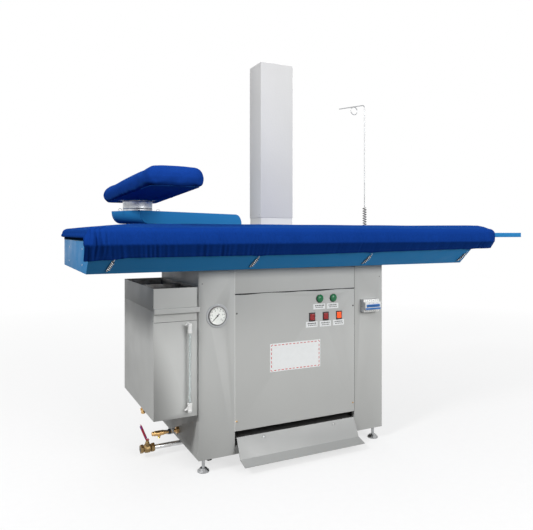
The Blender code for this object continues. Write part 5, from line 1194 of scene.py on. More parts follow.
    def stitches(self) -> Piece:
        """Line of stitches a little above the hem, by Geometry Nodes.

        Returns:
            One mesh of all of them.
        """
        tree = RepeatTree("hem_stitch_tree")
        length = tree.size("Stitch length", 2.6 * MM)
        pitch = tree.size("Stitch pitch", 4.4 * MM)
        thick = tree.size("Thread radius", 0.32 * MM)
        ball = tree.geo("MeshUVSphere", {"Segments": 6, "Rings": 5, "Radius": thick})
        half = tree.sum(tree.sum(length, thick, "DIVIDE"), 0.5, "MULTIPLY")
        stitch = tree.geo("Transform", {"Geometry": ball, "Scale": tree.vector({0: half, 1: 1.0, 2: 1.0})})
        return tree.run("cover_hem_stitches", tree.along(stitch, pitch), self.hem_line, True, Finish.THREAD)

    def build(self) -> None:
        """Build the cover and its stitches."""
        cover = loft("table_cover", self.rings(), Finish.CLOTH)
        settle(cover, "blue_cloth", "table_pad")
        settle(self.stitches(), "blue_cloth")


@dataclass
class SleeveBuck:
    """The small padded buck on its pan and neck."""

    neck_x: float = -0.71742
    neck_y: float = 0.10714
    pan_bottom: float = 0.9835
    front: float = -0.167
    length: float = 0.672
    front_width: float = 0.191
    back_width: float = 0.23
    corner: float = 34 * MM
    thickness: float = 70 * MM
    crown: float = 8 * MM
    shoulder: float = 33 * MM
    recess: float = 25.6 * MM
    recess_depth: float = 20.3 * MM
    tuck: float = 6 * MM
    widest: float = 26 * MM
    tilt: float = math.radians(-2)
    neck_radius: float = 57.5 * MM
    neck_low: float = 0.9403
    clip: Sequence[tuple[float, float]] = ((0, 1.2), (3, 7), (10, 8), (15, 2), (9, 1.1))

    def plan(self, inset: float) -> np.ndarray:
        """The buck's outline, narrower in front.

        Args:
            inset: how far it is drawn in.

        Returns:
            Its points, level.
        """
        half_front = self.front_width / 2 - inset
        radius = min(max(self.corner - inset, self.corner / 4), half_front * 0.95)
        low = (-half_front, self.front + inset)
        high = (half_front, self.front + self.length - inset)
        points = rounded_plan(low, high, (radius,) * 4, (10, 60, 10, 60), 12)
        share = (points[:, 1] - low[1]) / (high[1] - low[1])
        points[:, 0] += np.sign(points[:, 0]) * share * (self.back_width - self.front_width) / 2
        return points + np.array([self.neck_x, SHIFT_Y])

    def tilted(self, ring: np.ndarray) -> np.ndarray:
        """A ring of points turned with the buck about the top of its neck.

        Args:
            ring: the points.

        Returns:
            The turned points.
        """
        centre = Matrix.Translation((self.neck_x, self.neck_y, self.pan_bottom))
        turn = centre @ Matrix.Rotation(self.tilt, 4, "X") @ centre.inverted()
        matrix = np.array(turn)
        return ring @ matrix[:3, :3].T + matrix[:3, 3]

    def rings(self) -> list[np.ndarray]:
        """Rings of the buck's cover.

        Returns:
            Rings from the recess over the pan, round the outside and over the crown.
        """
        top = self.thickness - self.crown
        stations = [(self.recess, self.recess_depth), (self.recess, 0.0), (14 * MM, 0.0), (7 * MM, 0.8 * MM)]
        for share in (0.15, 0.4, 0.7, 1.0):
            angle = math.pi / 2 * share
            stations.append((6 * MM * (1 - math.sin(angle)), 0.8 * MM + 9 * MM * (1 - math.cos(angle))))
        flare = 1.5 * MM
        stations = [(inset + self.tuck * (1 - height / self.widest), height) if height < 15 * MM and inset < 20 * MM
                    else (inset, height) for inset, height in stations]
        stations += [(self.tuck * 0.3, 19 * MM), (0.0, self.widest), (flare, top - self.shoulder)]
        for step in range(1, 8):
            angle = math.pi / 2 * step / 7
            inset = flare + self.shoulder * (1 - math.cos(angle))
            stations.append((inset, top - self.shoulder * (1 - math.sin(angle))))
        for step in range(1, 8):
            share = step / 7
            inset = flare + self.shoulder + (self.front_width / 2 - self.shoulder) * share * 0.85
            stations.append((inset, top + (self.crown - 1 * MM) * math.sin(math.pi / 2 * share)))
        return [self.ring(inset, height) for inset, height in stations]

    def ring(self, inset: float, height: float) -> np.ndarray:
        """One tilted ring, drawn in by inset, at a height over the pan's bottom.

        Args:
            inset: how far it is drawn in.
            height: its height.

        Returns:
            The ring's points.
        """
        plan = self.plan(inset)
        level = np.full((len(plan), 1), self.pan_bottom + height)
        return self.tilted(np.concatenate([plan, level], 1))

    def flap(self) -> None:
        """Cloth drawn in under the pan and gathered round the neck."""
        middle = np.array([self.neck_x, self.neck_y])
        edge = self.plan(14 * MM)
        away = edge - middle
        mouth = middle + away / np.linalg.norm(away, axis=1, keepdims=True) * 79 * MM
        steps = np.linalg.norm(np.diff(edge, axis=0, append=edge[:1]), axis=1)
        lengths = np.concatenate([[0], np.cumsum(steps)[:-1]])
        gathers = np.minimum(0, ripple(lengths, steps.sum(), 0.02, 0.06, 31))
        rings = []
        for share, height in ((0, -0.4), (1, -0.5), (1, -2.4), (0.94, -3.4), (0.8, -3.2), (0.6, -2.8), (0.4, -2.6),
                              (0.2, -2.2), (0.08, -1.8), (0, -1.2)):
            flat = edge + (mouth - edge) * share
            level = self.pan_bottom + height * MM + 1.6 * MM * gathers * min(share, 1 - 0.4 * share) * (height < -1)
            rings.append(self.tilted(np.concatenate([flat, level[:, None]], 1)))
        settle(loft("buck_flap", rings, Finish.NAVY, False), "blue_cloth", body="buck")

    def crease(self, piece: Piece) -> None:
        """Press the cover's creases into the buck's sides.

        Args:
            piece: the buck's cover.
        """
        mesh = piece.data
        places = places_of(mesh)
        normals = np.array([vertex.normal for vertex in mesh.vertices])
        low, high = places[:, 2].min(), places[:, 2].max()
        down = np.clip((high - 14 * MM - places[:, 2]) / (high - low - 14 * MM), 0, 1)
        angle = np.arctan2(places[:, 1] - self.neck_y, (places[:, 0] - self.neck_x) * 2.4)
        around = (angle + math.pi) / (2 * math.pi) * 1.5
        folds = ripple(around + 0.6 * places[:, 2], 1.5, 0.02, 0.05, 21)
        folds += 1.5 * ripple(around - 0.9 * places[:, 2], 1.5, 0.06, 0.15, 22)
        places += normals * (1.1 * MM * folds * down * (1 - 0.3 * down))[:, None]
        mesh.vertices.foreach_set("co", places.ravel())
        mesh.update()

    def build(self) -> None:
        """Build the pad, the pan, the neck and its clips."""
        pad = loft("buck_cover", self.rings(), Finish.BUCK_CLOTH)
        swell(pad, 3.0, 4 * MM, 4.4 * MM, 14)
        self.crease(pad)
        self.flap()
        finer = pad.modifiers.new("finer", "SUBSURF")
        finer.levels = 1
        finer.render_levels = 1
        settle(pad, "blue_cloth", "buck_pad", body="buck")
        eased("buck_pan", "buck_pan_sheet", Finish.TEAL, "zinc", 0.6 * MM)
        self.neck()

    def neck(self) -> None:
        """Galvanised neck with rolled beads, and two small clips beside it."""
        low, radius = self.neck_low, self.neck_radius
        high = self.pan_bottom - 2.4 * MM
        skin = radius + 0.35 * MM
        beads = [(skin + out * MM, low + up * MM) for out, up in ((2.6, 0), (2.6, 1.4), (0, 1.8), (0, 7), (1.3, 8.6),
                                                                  (0, 10.2))]
        beads += [(skin + out * MM, high - down * MM) for out, down in ((0, 6), (1.2, 4), (0, 2), (0, 0))]
        profile = [(radius - 1 * MM, low), *beads, (radius - 1 * MM, high)]
        sleeve = lathe("neck_sleeve", profile, (self.neck_x, self.neck_y, 0), Finish.GALVANISED, sides=72)
        settle(sleeve, "zinc", body="buck")
        for number, side in enumerate((-1, 1), 1):
            x = self.neck_x + side * (radius + 11 * MM)
            y = self.neck_y - 30 * MM
            points = [(x + side * out * MM, y, low + up * MM) for out, up in self.clip]
            settle(tube("neck_clip_%d" % number, points, 1 * MM, Finish.SPRING), "zinc", body="arm")


# Cabinet


def tint_faces(piece: Piece, finish: Finish, test: Callable[[Vector, Vector], bool]) -> None:
    """Give the faces that pass a test another finish.

    Args:
        piece: the piece.
        finish: the other finish.
        test: told a face's middle and normal.
    """
    index = len(piece.data.materials)
    piece.data.materials.append(finish.material)
    for face in piece.data.polygons:
        if test(face.center, face.normal):
            face.material_index = index


def dashes(name: str, route: Sequence[Point], length: float, pitch: float, width: float, thick: float,
           finish: Finish) -> Piece:
    """Flat dashes along a closed route, by Geometry Nodes.

    Args:
        name: the piece's name.
        route: the route's corners.
        length: length of a dash.
        pitch: distance from dash to dash.
        width: width of a dash.
        thick: its thickness.
        finish: its finish.

    Returns:
        One mesh of all of them.
    """
    tree = RepeatTree(name + "_tree")
    dash = tree.bar(length, thick, width)
    return tree.run(name, tree.along(dash, tree.size("Pitch", pitch)), route, True, finish)


@dataclass
class Cabinet:
    """Sheet steel cabinet with its seams, screws and name plate."""

    depth: float = 0.48
    cover_left: float = 0.13815
    cover_right: float = 0.66185
    cover_low: float = 0.133
    fascia_low: float = 0.631
    top: float = 0.7225
    seam: float = 1.1 * MM
    # Height of the painted shadow strip under the fascia.
    gap_shade: float = 5.2 * MM
    plate_low: tuple[float, float] = (0.28, 0.331)
    plate_high: tuple[float, float] = (0.5, 0.437)

    def seams(self) -> None:
        """A white strip beside the cover's left edge as a painted highlight, a near-black strip at its right edge as
        painted shade, and an uneven near-black strip under the fascia as its painted shadow.
        """
        for number, x in enumerate((self.cover_left, self.cover_right), 1):
            low = place(x - self.seam / 2, -0.22 * MM, self.cover_low)
            high = place(x + self.seam / 2, 0.6 * MM, self.top)
            # Left strip white: painted highlight on the cover's folded edge; right strip near-black: painted shade in
            # the seam.
            finish = Finish.WHITE if number == 1 else Finish.DARK
            settle(slab("seam_highlight_and_shade_%d" % number, low, high, finish, 0.05 * MM, 1), "grey_paint")
        # Uneven near-black strip under the fascia: painted shadow of its lower edge.
        count = 72
        upper, lower = [], []
        for step in range(count + 1):
            x = self.cover_left + (self.cover_right - self.cover_left) * step / count
            wave = 0.62 + 0.38 * math.sin(step * 0.21 + 0.8) * math.sin(step * 0.083 + 0.4)
            upper.append((x, self.fascia_low + 0.8 * MM))
            lower.append((x, self.fascia_low - self.gap_shade * wave))
        shape = bmesh.new()
        rows = []
        for y in (-0.3 * MM, 0.5 * MM):
            rows.append([[shape.verts.new(place(x, y, z)) for x, z in line] for line in (upper, lower)])
        (front_up, front_low), (back_up, back_low) = rows
        sides = ((front_up, front_low), (front_low, back_low), (back_low, back_up), (back_up, front_up))
        for index in range(count):
            for first, second in sides:
                shape.faces.new((first[index], first[index + 1], second[index + 1], second[index]))
        for index in (0, count):
            shape.faces.new((front_up[index], front_low[index], back_low[index], back_up[index]))
        settle(as_piece("fascia_gap_shadow", shape, Finish.DARK), "grey_paint")
        lip = [place(x, -0.1 * MM, z - 0.5 * MM) for x, z in lower]
        settle(tube("cover_lip", lip, 0.85 * MM, Finish.CABINET), "grey_paint")

    def fasteners(self) -> None:
        """Screws of the cover, the columns and the rear panel."""
        upper = [place(x, 0, 0.56) for x in (0.1455, 0.6545)]
        screws("cover_screws", upper, Facing.FRONT, 3.6 * MM, Finish.STEEL)
        lower = [place(x, 0, 0.168) for x in (0.1455, 0.6545)]
        screws("cover_lower_screws", lower, Facing.FRONT, 3.4 * MM, Finish.BRASS)
        small = [place(x, 0, 0.673) for x in (0.0134, 0.7866)]
        screws("column_screws", small, Facing.FRONT, 2.2 * MM, Finish.STEEL)
        rear = [place(x, self.depth, z) for x in (0.016, 0.4, 0.784) for z in (0.075, 0.3, 0.52, 0.7)]
        screws("rear_screws", rear, Facing.BACK, 3.4 * MM)
        side = [place(0, y, z) for y in (0.014, 0.466) for z in (0.075, 0.7)]
        screws("side_screws", side, Facing.LEFT, 2.6 * MM)

    def name_plate(self) -> None:
        """Plain white plate with a dashed red border and nothing on it."""
        (left, low), (right, high) = self.plate_low, self.plate_high
        plate = slab("name_plate", place(left, -0.9 * MM, low), place(right, 0.1 * MM, high), Finish.STICKER, 0.4 * MM)
        settle(plate, "white_plastic")
        inset = 6 * MM
        left, low, right, high = left + inset, low + inset, right - inset, high - inset
        corners = [place(x, -1 * MM, z) for x, z in ((left, low), (right, low), (right, high), (left, high))]
        border = dashes("name_plate_border", corners, 9.5 * MM, 16 * MM, 2.6 * MM, 0.3 * MM, Finish.BORDER)
        settle(border, "red_plastic")

    def build(self) -> None:
        """Build the cabinet."""
        for node, name in (("left_column_panel", "left_column"), ("right_column_panel", "right_column"),
                           ("front_cover", "cover_sheet"), ("fascia_panel", "fascia_sheet"),
                           ("rear_panel", "rear_sheet")):
            eased(node, name, Finish.CABINET, "grey_paint", 0.5 * MM)
        dress(Finish.CABINET, "top_frame", "base_pan")
        self.seams()
        self.fasteners()
        self.name_plate()


@dataclass
class TableTop:
    """Folded steel tray with its plate, iron rest and hem springs."""

    front: float = -0.148
    slant_top: float = 0.816
    foot: float = -0.05
    bottom: float = 0.723
    left: float = -0.387
    length: float = 1.574
    spring_shares: Sequence[float] = (0.0477, 0.3621, 0.6703, 0.988)
    start_share: float = 0.53
    end_share: float = 0.82
    lean: float = 12 * MM
    radius: float = 4.3 * MM
    wire: float = 1.2 * MM
    curls: float = 5.5

    def springs(self) -> None:
        """Coil springs with hooks from the cover's hem to eyelets in the slanted front."""
        slant = Vector((0, self.foot - self.front, self.bottom - self.slant_top))
        out = Vector((0, slant.z, -slant.y)).normalized()
        clear = self.radius + self.wire + 0.3 * MM
        for number, share in enumerate(self.spring_shares, 1):
            corner = Vector(place(self.left + self.length * share, self.front, self.slant_top))
            hem = corner + slant * self.start_share + out * clear
            foot = corner + slant * self.end_share + out * clear - Vector((self.lean, 0, 0))
            ahead = (foot - hem).normalized()
            sheet = corner + slant * self.end_share - Vector((self.lean, 0, 0)) + ahead * 7 * MM
            turns = coil("turns_%d" % number, hem, foot, self.radius, self.wire, self.curls, Finish.ZINC)
            upper = [hem + ahead * self.radius, hem, hem - ahead * 4 * MM, hem - ahead * 8 * MM - out * 1.5 * MM,
                     hem - ahead * 10 * MM - out * 4 * MM]
            lower = [foot - ahead * self.radius, foot, foot + ahead * 4 * MM, sheet + out * 4 * MM + ahead * 1 * MM,
                     sheet + out * 1.2 * MM + ahead * 2 * MM, sheet + out * 0.6 * MM]
            # Near-black rod inside the coil: painted shade seen between its turns.
            shade_core = tube("shade_core", [hem, (hem + foot) / 2, foot], self.radius - self.wire, Finish.DARK)
            hooks = [tube("hook", points, self.wire, Finish.SPRING) for points in (upper, lower)]
            spring = join("hem_spring_%d" % number, turns, shade_core, *hooks)
            settle(spring, "zinc", "cover_spring_%d" % number)
            # Near-black disc where the hook enters the sheet: painted shade in the hole.
            profile = [(0, -0.2), (2.3, -0.2), (2.3, 0.25), (0, 0.25)]
            eyelet = turned("eyelet_%d" % number, profile, (0, 0, 0), Finish.DARK, Axis.Z, 16)
            turn = Vector((0, 0, 1)).rotation_difference(out).to_matrix().to_4x4()
            eyelet.data.transform(Matrix.Translation(sheet) @ turn)
            settle(eyelet, "dark_steel")

    def build(self) -> None:
        """Build the tray, the rest and the springs."""
        eased("tray", "tray_sheet", Finish.TEAL, "teal_paint", 1.2 * MM)
        eased("iron_rest", "iron_rest_dish", Finish.TEAL, "teal_paint", 0.8 * MM)
        dress(Finish.ZINC, "perforated_plate")
        self.springs()
        # Near-black cloth strip on the tray's left end, under the cover's hem: painted shadow of the hem.
        hem_shadow = slab("end_hem_shadow_edge", place(-0.3895, -0.1, 0.8275), place(-0.3868, 0.53, 0.8375), Finish.HEM_SHADOW, 0.6 * MM)
        settle(hem_shadow, "blue_cloth")
        places = [place(-0.387, y, z) for y in (0.03, 0.37) for z in (0.748, 0.8)]
        screws("tray_end_screws", places, Facing.LEFT, 3.0 * MM, Finish.STICKER)


@dataclass
class WaterTank:
    """Water tank on the left wall, with its strap, lip, inner plate and sight gauge."""

    left: float = -0.158
    right: float = -0.0003
    front: float = 8 * MM
    back: float = 0.476
    bottom: float = 0.21
    top: float = 0.662
    wall: float = 1.5 * MM
    lip: float = 0.547
    tube_x: float = -36 * MM
    tube_low: float = 0.2383
    tube_high: float = 0.5317
    tube_radius: float = 4.5 * MM
    standoff: float = 20 * MM

    def shell(self) -> None:
        """Painted tank and collar, with dark dull steel on their inner faces as painted shade inside the tank."""
        inner_margin = self.wall * 0.6

        def inside(middle: Vector, normal: Vector) -> bool:
            """Whether a face is inside the tank.

            Args:
                middle: the face's middle.
                normal: its normal.

            Returns:
                True for the inside.
            """
            x, y = middle.x - SHIFT_X, middle.y - SHIFT_Y
            across = self.left + inner_margin < x < self.right - inner_margin and self.front + inner_margin < y < self.back - inner_margin
            return across and self.bottom + inner_margin < middle.z < self.top - 0.2 * MM

        # Inner faces take dark dull steel: painted shade inside the open tank.
        for node, name in (("tank_body", "tank_shell"), ("tank_collar", "tank_collar_sheet")):
            tint_faces(eased(node, name, Finish.CABINET, "grey_paint", 0.5 * MM), Finish.STEEL, inside)
        low = place(self.left + 2 * MM, 0.215, 0.59)
        high = place(self.right - 2 * MM, 0.2165, self.top - 3 * MM)
        settle(slab("tank_inner_plate", low, high, Finish.STEEL, 0.4 * MM), "dark_steel")

    def strap(self) -> None:
        """Strap over the seam, folded lip with a near-black strip under it as its painted shadow, and two small steel
        screws in the corner.
        """
        eased("tank_strap", "tank_strap_sheet", Finish.CABINET, "grey_paint", 0.9 * MM)
        low = place(self.left + 1.5 * MM, self.front - 1.3 * MM, self.lip - 0.5 * MM)
        high = place(-4 * MM, self.front + 0.3 * MM, self.lip + 1.6 * MM)
        settle(slab("tank_lip", low, high, Finish.CABINET, 0.5 * MM), "grey_paint")
        # Near-black strip under the lip: painted shadow of the lip.
        low = place(self.left + 1.5 * MM, self.front - 0.3 * MM, self.lip - 1.9 * MM)
        high = place(-4 * MM, self.front + 0.3 * MM, self.lip - 0.6 * MM)
        settle(slab("tank_lip_shadow", low, high, Finish.DARK, 0.1 * MM), "grey_paint")
        places = [place(self.left, 0.021, 0.6), place(self.left, 0.014, 0.552)]
        screws("tank_side_screws", places, Facing.LEFT, 2.0 * MM, Finish.STEEL)

    def sight_gauge(self) -> None:
        """Clear tube between two white elbows with wing taps."""
        y = self.front - self.standoff
        outer, low, high = self.tube_radius, self.tube_low, self.tube_high
        profile = [(outer - 1 * MM, low), (outer, low), (outer, high), (outer - 1 * MM, high)]
        glass = lathe("sight_glass", profile, place(self.tube_x, y, 0), Finish.TUBE, sides=32)
        settle(glass, "clear_tube", "sight_tube")
        along = [(0, 0), (8.2, 0), (8.2, 1), (7.2, 1.6), (7.2, 6), (5.6, 7), (5.6, 12), (6.8, 14), (7.6, 19),
                 (6.8, 25), (3.4, 27.2), (0, 27.6)]
        cup = [(0, -8), (5.4, -7.6), (7.4, -5), (7.4, 16), (8.2, 16.6), (8.2, 19), (7.6, 19.4), (7.6, 20.6), (8.2, 21),
               (8.2, 25), (7.4, 26), (4.9, 26), (4.9, 0.2), (0, 0.2)]
        for name, z, way in (("top", high, -1), ("bottom", low, 1)):
            stem = turned("stem", along, place(self.tube_x, self.front - 0.3 * MM, z), Finish.WHITE, Axis.Y, 28)
            facing = [(radius, way * rise) for radius, rise in cup]
            socket = turned("socket", facing, place(self.tube_x, y, z), Finish.WHITE, Axis.Z, 28)
            wing = [place(self.tube_x - out * MM, y + 3 * MM, z + up * MM) for out, up in ((6, 2), (11, 5), (17, 1))]
            piece = join("sight_elbow_" + name, stem, socket, tube("wing", wing, 2.3 * MM, Finish.WHITE, 4))
            settle(piece, "white_plastic", "sight_fitting_" + name)

    def build(self) -> None:
        """Build the tank."""
        self.shell()
        self.strap()
        self.sight_gauge()
        dress(Finish.WHITE, "float_arm")


@dataclass
class PressureGauge:
    """Dial gauge let into the left column."""

    x: float = 70 * MM
    z: float = 0.557
    flange: float = 42.5 * MM
    body: float = 33 * MM
    body_depth: float = 42 * MM
    dial: float = 31 * MM
    proud: float = 7 * MM
    dial_depth: float = 4.5 * MM
    needle_reach: float = 25 * MM
    needle_tail: float = 9 * MM
    hub: float = 3.5 * MM
    sweep: float = math.radians(270)
    marks: int = 10
    mark_end: float = 28.5 * MM

    def case(self) -> None:
        """Stepped flange, bezel and body of plated steel."""
        body, flange, dial, proud = self.body, self.flange, self.dial, self.proud
        back = proud - self.dial_depth - 0.1 * MM
        profile = [(0, -self.body_depth), (body, -self.body_depth), (body, 0.3 * MM), (flange, 0.3 * MM),
                   (flange, 1.6 * MM), (flange - 1.2 * MM, 2.6 * MM), (body + 5 * MM, 2.8 * MM),
                   (body + 4.4 * MM, 2.2 * MM), (body + 2.2 * MM, 2.4 * MM), (body + 1.4 * MM, 6.2 * MM), (body, proud),
                   (dial + 0.5 * MM, proud), (dial, proud - 0.6 * MM), (dial, back), (0, back)]
        case = lathe("gauge_shell", profile, place(self.x, 0, self.z), Finish.ZINC, Axis.Y, 72, 28)
        middle, rim = Vector(place(self.x, 0, self.z)), body + 2.3 * MM

        def off(at: Vector) -> float:
            """Distance of a point from the gauge's axis."""
            return math.hypot(at.x - middle.x, at.z - middle.z)

        tint_faces(case, Finish.STEEL, lambda at, normal: dial < off(at) < rim and at.y < middle.y - 1 * MM)
        tint_faces(case, Finish.GREY_AND_SIDE_SHADE, lambda at, normal: off(at) > rim and at.y < middle.y)
        settle(case, "zinc", "gauge_case")
        places = [place(self.x + 38.6 * MM * math.sin(a), -2.7 * MM, self.z + 38.6 * MM * math.cos(a))
                  for a in (math.radians(7), math.radians(127), math.radians(247))]
        screws("gauge_flange_screws", places, Facing.FRONT, 2.4 * MM)

    def ticks(self, name: str, count: int, length: float, width: float) -> Piece:
        """Radial marks on the dial, by Geometry Nodes.

        Args:
            name: the piece's name.
            count: number of steps between marks.
            length: their length.
            width: their width.

        Returns:
            One mesh of all of them.
        """
        y = -(self.proud - self.dial_depth) - 0.28 * MM
        centre = Vector(place(self.x, y, self.z))
        places = []
        for step in range(count + 1):
            angle = math.pi + (2 * math.pi - self.sweep) / 2 + self.sweep * step / count
            places.append(centre + Vector((math.sin(angle), 0, math.cos(angle))) * (self.mark_end - length / 2))
        tree = RepeatTree(name + "_tree")
        mark = tree.bar(length, 0.12 * MM, width)
        spot = tree.geo("InputPosition", {})
        way = tree.out("ShaderNodeVectorMath", {0: spot, 1: centre}, operation="SUBTRACT")
        turn = tree.out("FunctionNodeAlignEulerToVector", {"Vector": way}, axis="X", pivot_axis="Y")
        joins = {"Points": tree.entry.outputs[0], "Instance": mark, "Rotation": turn}
        return tree.run(name, tree.geo("InstanceOnPoints", joins), places, finish=Finish.PRINT)

    def face(self) -> None:
        """Dial card with its marks and numbers, and the glass over it."""
        back = self.proud - self.dial_depth
        edge, low, high = self.dial - 0.2 * MM, back - 0.1 * MM, back + 0.2 * MM
        card = lathe("gauge_dial", [(0, low), (edge, low), (edge, high), (0, high)], place(self.x, 0, self.z),
                     Finish.DIAL, Axis.Y, 64)
        settle(card, "white_plastic")
        for name, count, length, width in (("gauge_marks", self.marks, 5.2, 1.5),
                                           ("gauge_fine_marks", self.marks * 5, 2.6, 0.6)):
            settle(self.ticks(name, count, length * MM, width * MM), "black_plastic")
        numbers = []
        for step in range(0, self.marks + 1, 2):
            angle = math.pi + (2 * math.pi - self.sweep) / 2 + self.sweep * step / self.marks
            text = bpy.data.curves.new("number", "FONT")
            text.body = "%d" % step
            text.size = 7.6 * MM
            text.align_x = text.align_y = "CENTER"
            text.extrude = 0.05 * MM
            number = flatten(linked("number", text), "number_%d" % step)
            at = place(self.x + 19.6 * MM * math.sin(angle), -back - 0.3 * MM, self.z + 19.6 * MM * math.cos(angle))
            number.data.transform(Matrix.Translation(at) @ Matrix.Rotation(math.pi / 2, 4, "X"))
            clad(number.data, Finish.PRINT)
            numbers.append(number)
        settle(join("gauge_numbers", *numbers), "black_plastic")
        near, edge = self.proud - 1.5 * MM, self.dial - 0.1 * MM
        glass = lathe("gauge_glass", [(0, near), (edge, near), (edge, near + 0.8 * MM), (0, near + 0.9 * MM)],
                      place(self.x, 0, self.z), Finish.GLASS, Axis.Y, 64)
        settle(glass, "clear_tube")

    def needle(self) -> None:
        """Tapered needle that turns with its hub."""
        shape = bmesh.new()
        outline = [(0.6, self.needle_reach / MM), (1.5, 12), (1.9, 0), (1.5, -5), (2.6, -self.needle_tail / MM)]
        outline += [(-x, y) for x, y in reversed(outline)]
        low, high = -3.05 * MM, -3.45 * MM
        front = [shape.verts.new((x * MM, high, y * MM)) for x, y in outline]
        rear = [shape.verts.new((x * MM, low, y * MM)) for x, y in outline]
        shape.faces.new(front)
        shape.faces.new(list(reversed(rear)))
        for index in range(len(outline)):
            after = (index + 1) % len(outline)
            shape.faces.new((front[index], rear[index], rear[after], front[after]))
        turn = Matrix.Rotation(math.radians(-135), 4, "Y")
        bmesh.ops.transform(shape, matrix=Matrix.Translation(place(self.x, 0, self.z)) @ turn, verts=shape.verts)
        pointer = as_piece("pointer", shape, Finish.PRINT)
        hub = lathe("hub", [(0, 2.9 * MM), (self.hub, 2.9 * MM), (self.hub, 3.9 * MM), (self.hub * 0.7, 4.4 * MM),
                            (0, 4.5 * MM)], place(self.x, 0, self.z), Finish.PRINT, Axis.Y, 28)
        settle(join("gauge_pointer", pointer, hub), "black_plastic", "gauge_needle", body="needle")

    def build(self) -> None:
        """Build the gauge."""
        self.case()
        self.face()
        self.needle()


@dataclass
class ControlPanel:
    """Pilot lamps, rocker switches, blank stickers and the circuit breaker."""

    lamp_places: Sequence[float] = (0.4975, 0.5596)
    lamp_z: float = 0.596
    lamp_radius: float = 16.8 * MM
    rocker_places: Sequence[float] = (0.463, 0.525, 0.587)
    rocker_z: float = 0.526
    frame_inner: tuple[float, float] = (20.8 * MM, 26.2 * MM)
    frame_outer: tuple[float, float] = (27.5 * MM, 34 * MM)
    sticker_drops: tuple[float, float] = (0.565, 0.497)
    breaker_left: float = 0.692
    breaker_width: float = 77 * MM
    breaker_z: float = 0.558

    def lamp(self, name: str, x: float) -> None:
        """A lens with cut facets in a dark bezel.

        Args:
            name: which of the lamps.
            x: where its middle is.
        """
        centre, rim = Vector(place(x, 0, self.lamp_z)), self.lamp_radius
        profile = [(0, -0.03), (11 * MM, -0.03), (11 * MM, 0.3 * MM), (rim, 0.3 * MM), (rim, 2.2 * MM),
                   (15.8 * MM, 3.4 * MM), (14.6 * MM, 3.6 * MM), (14.6 * MM, 5.4 * MM), (10.6 * MM, 7.9 * MM),
                   (5.2 * MM, 9.4 * MM), (0, 9.6 * MM)]
        lens = lathe("lens_" + name, profile, centre, Finish.LENS, Axis.Y, 10, 8)
        tint_faces(lens, Finish.BLACK, lambda middle, normal: (middle - centre).length > 15.4 * MM
                   or middle.y > centre.y - 0.2 * MM)
        settle(lens, "green_lens", "lamp_" + name)

    def frame_ring(self, x: float) -> Piece:
        """A bevelled frame round one rocker.

        Args:
            x: where its middle is.

        Returns:
            The frame.
        """
        shape = bmesh.new()
        rings = []
        inner, outer = self.frame_inner, self.frame_outer
        for (width, height), wider, y in ((inner, 0, 0.2), (outer, 0, 0.2), (outer, 0, -1.5), (outer, -1.4, -2.3),
                                          (inner, 0.8, -2.3), (inner, 0, -1.6)):
            half, tall = (width + wider * MM) / 2, (height + wider * MM) / 2
            corners = ((-half, -tall), (half, -tall), (half, tall), (-half, tall))
            rings.append([shape.verts.new(place(x + dx, y * MM, self.rocker_z + dz)) for dx, dz in corners])
        for first, second in zip(rings, rings[1:] + rings[:1]):
            for index in range(4):
                after = (index + 1) % 4
                shape.faces.new((first[index], first[after], second[after], second[index]))
        return soften_edges(as_piece("frame_%d" % round(x / MM), shape, Finish.BLACK), 0.25 * MM, 1)

    def rockers(self) -> None:
        """Rocker switches, the third of them lit."""
        for number, x in enumerate(self.rocker_places, 1):
            finish = Finish.LIT_ROCKER if number == 3 else Finish.ROCKER
            eased("switch_rocker_%d" % number, "rocker_key_%d" % number, finish, "red_plastic", 0.7 * MM)
        frames = join("rocker_frames", *(self.frame_ring(x) for x in self.rocker_places))
        settle(frames, "black_plastic")

    def stickers(self) -> None:
        """Blank white stickers, each with two rows of generic marks."""
        sheets, rows = [], []
        upper = [(x - 2 * MM, self.sticker_drops[0], 27 * MM, 10.5 * MM) for x in self.lamp_places]
        lower = [(x - 1.5 * MM, self.sticker_drops[1], 26 * MM, 11 * MM) for x in self.rocker_places]
        for number, (x, z, half, tall) in enumerate(upper + lower):
            tilt = (0.4, -0.3, 0.6, -0.5, 0.3)[number] * MM
            sheets.append(slab("sheet_%d" % number, place(x - half, -0.35 * MM, z - tall + tilt),
                               place(x + half, 0.1 * MM, z + tall + tilt), Finish.STICKER, 0.15 * MM, 1))
            for row, rise in enumerate((0.34, -0.34)):
                start = x - half * (0.7 - 0.1 * row)
                random = np.random.default_rng(number * 2 + row)
                while start < x + half * 0.68:
                    width = random.uniform(2.4, 5.2) * MM
                    high = tall * (0.2 - 0.06 * row)
                    rows.append(slab("mark", place(start, -0.5 * MM, z + tilt + rise * tall - high),
                                     place(start + width, -0.3 * MM, z + tilt + rise * tall + high), Finish.PRINT,
                                     0.05 * MM, 1))
                    start += width + random.uniform(1.4, 2.6) * MM
        settle(join("panel_stickers", *sheets), "white_plastic")
        settle(join("sticker_marks", *rows), "black_plastic")

    def breaker(self) -> None:
        """Four-pole circuit breaker with its linked handles."""
        case = eased("breaker_case", "breaker_body", Finish.WHITE, "white_plastic", 0.9 * MM)
        # The white case's side faces take a darker moulding: painted shade on its sides.
        tint_faces(case, Finish.GREY_AND_SIDE_SHADE, lambda middle, normal: abs(normal.x) > 0.8)
        eased("breaker_toggle", "breaker_handles", Finish.BLUE, "blue_plastic", 0.6 * MM)
        left, width, z = self.breaker_left, self.breaker_width, self.breaker_z
        band = slab("breaker_band", place(left + 1.5 * MM, -33.5 * MM, z - 14.4 * MM),
                    place(left + width - 1.5 * MM, -32.8 * MM, z - 8 * MM), Finish.BLUE, 0.2 * MM)
        settle(band, "blue_plastic")
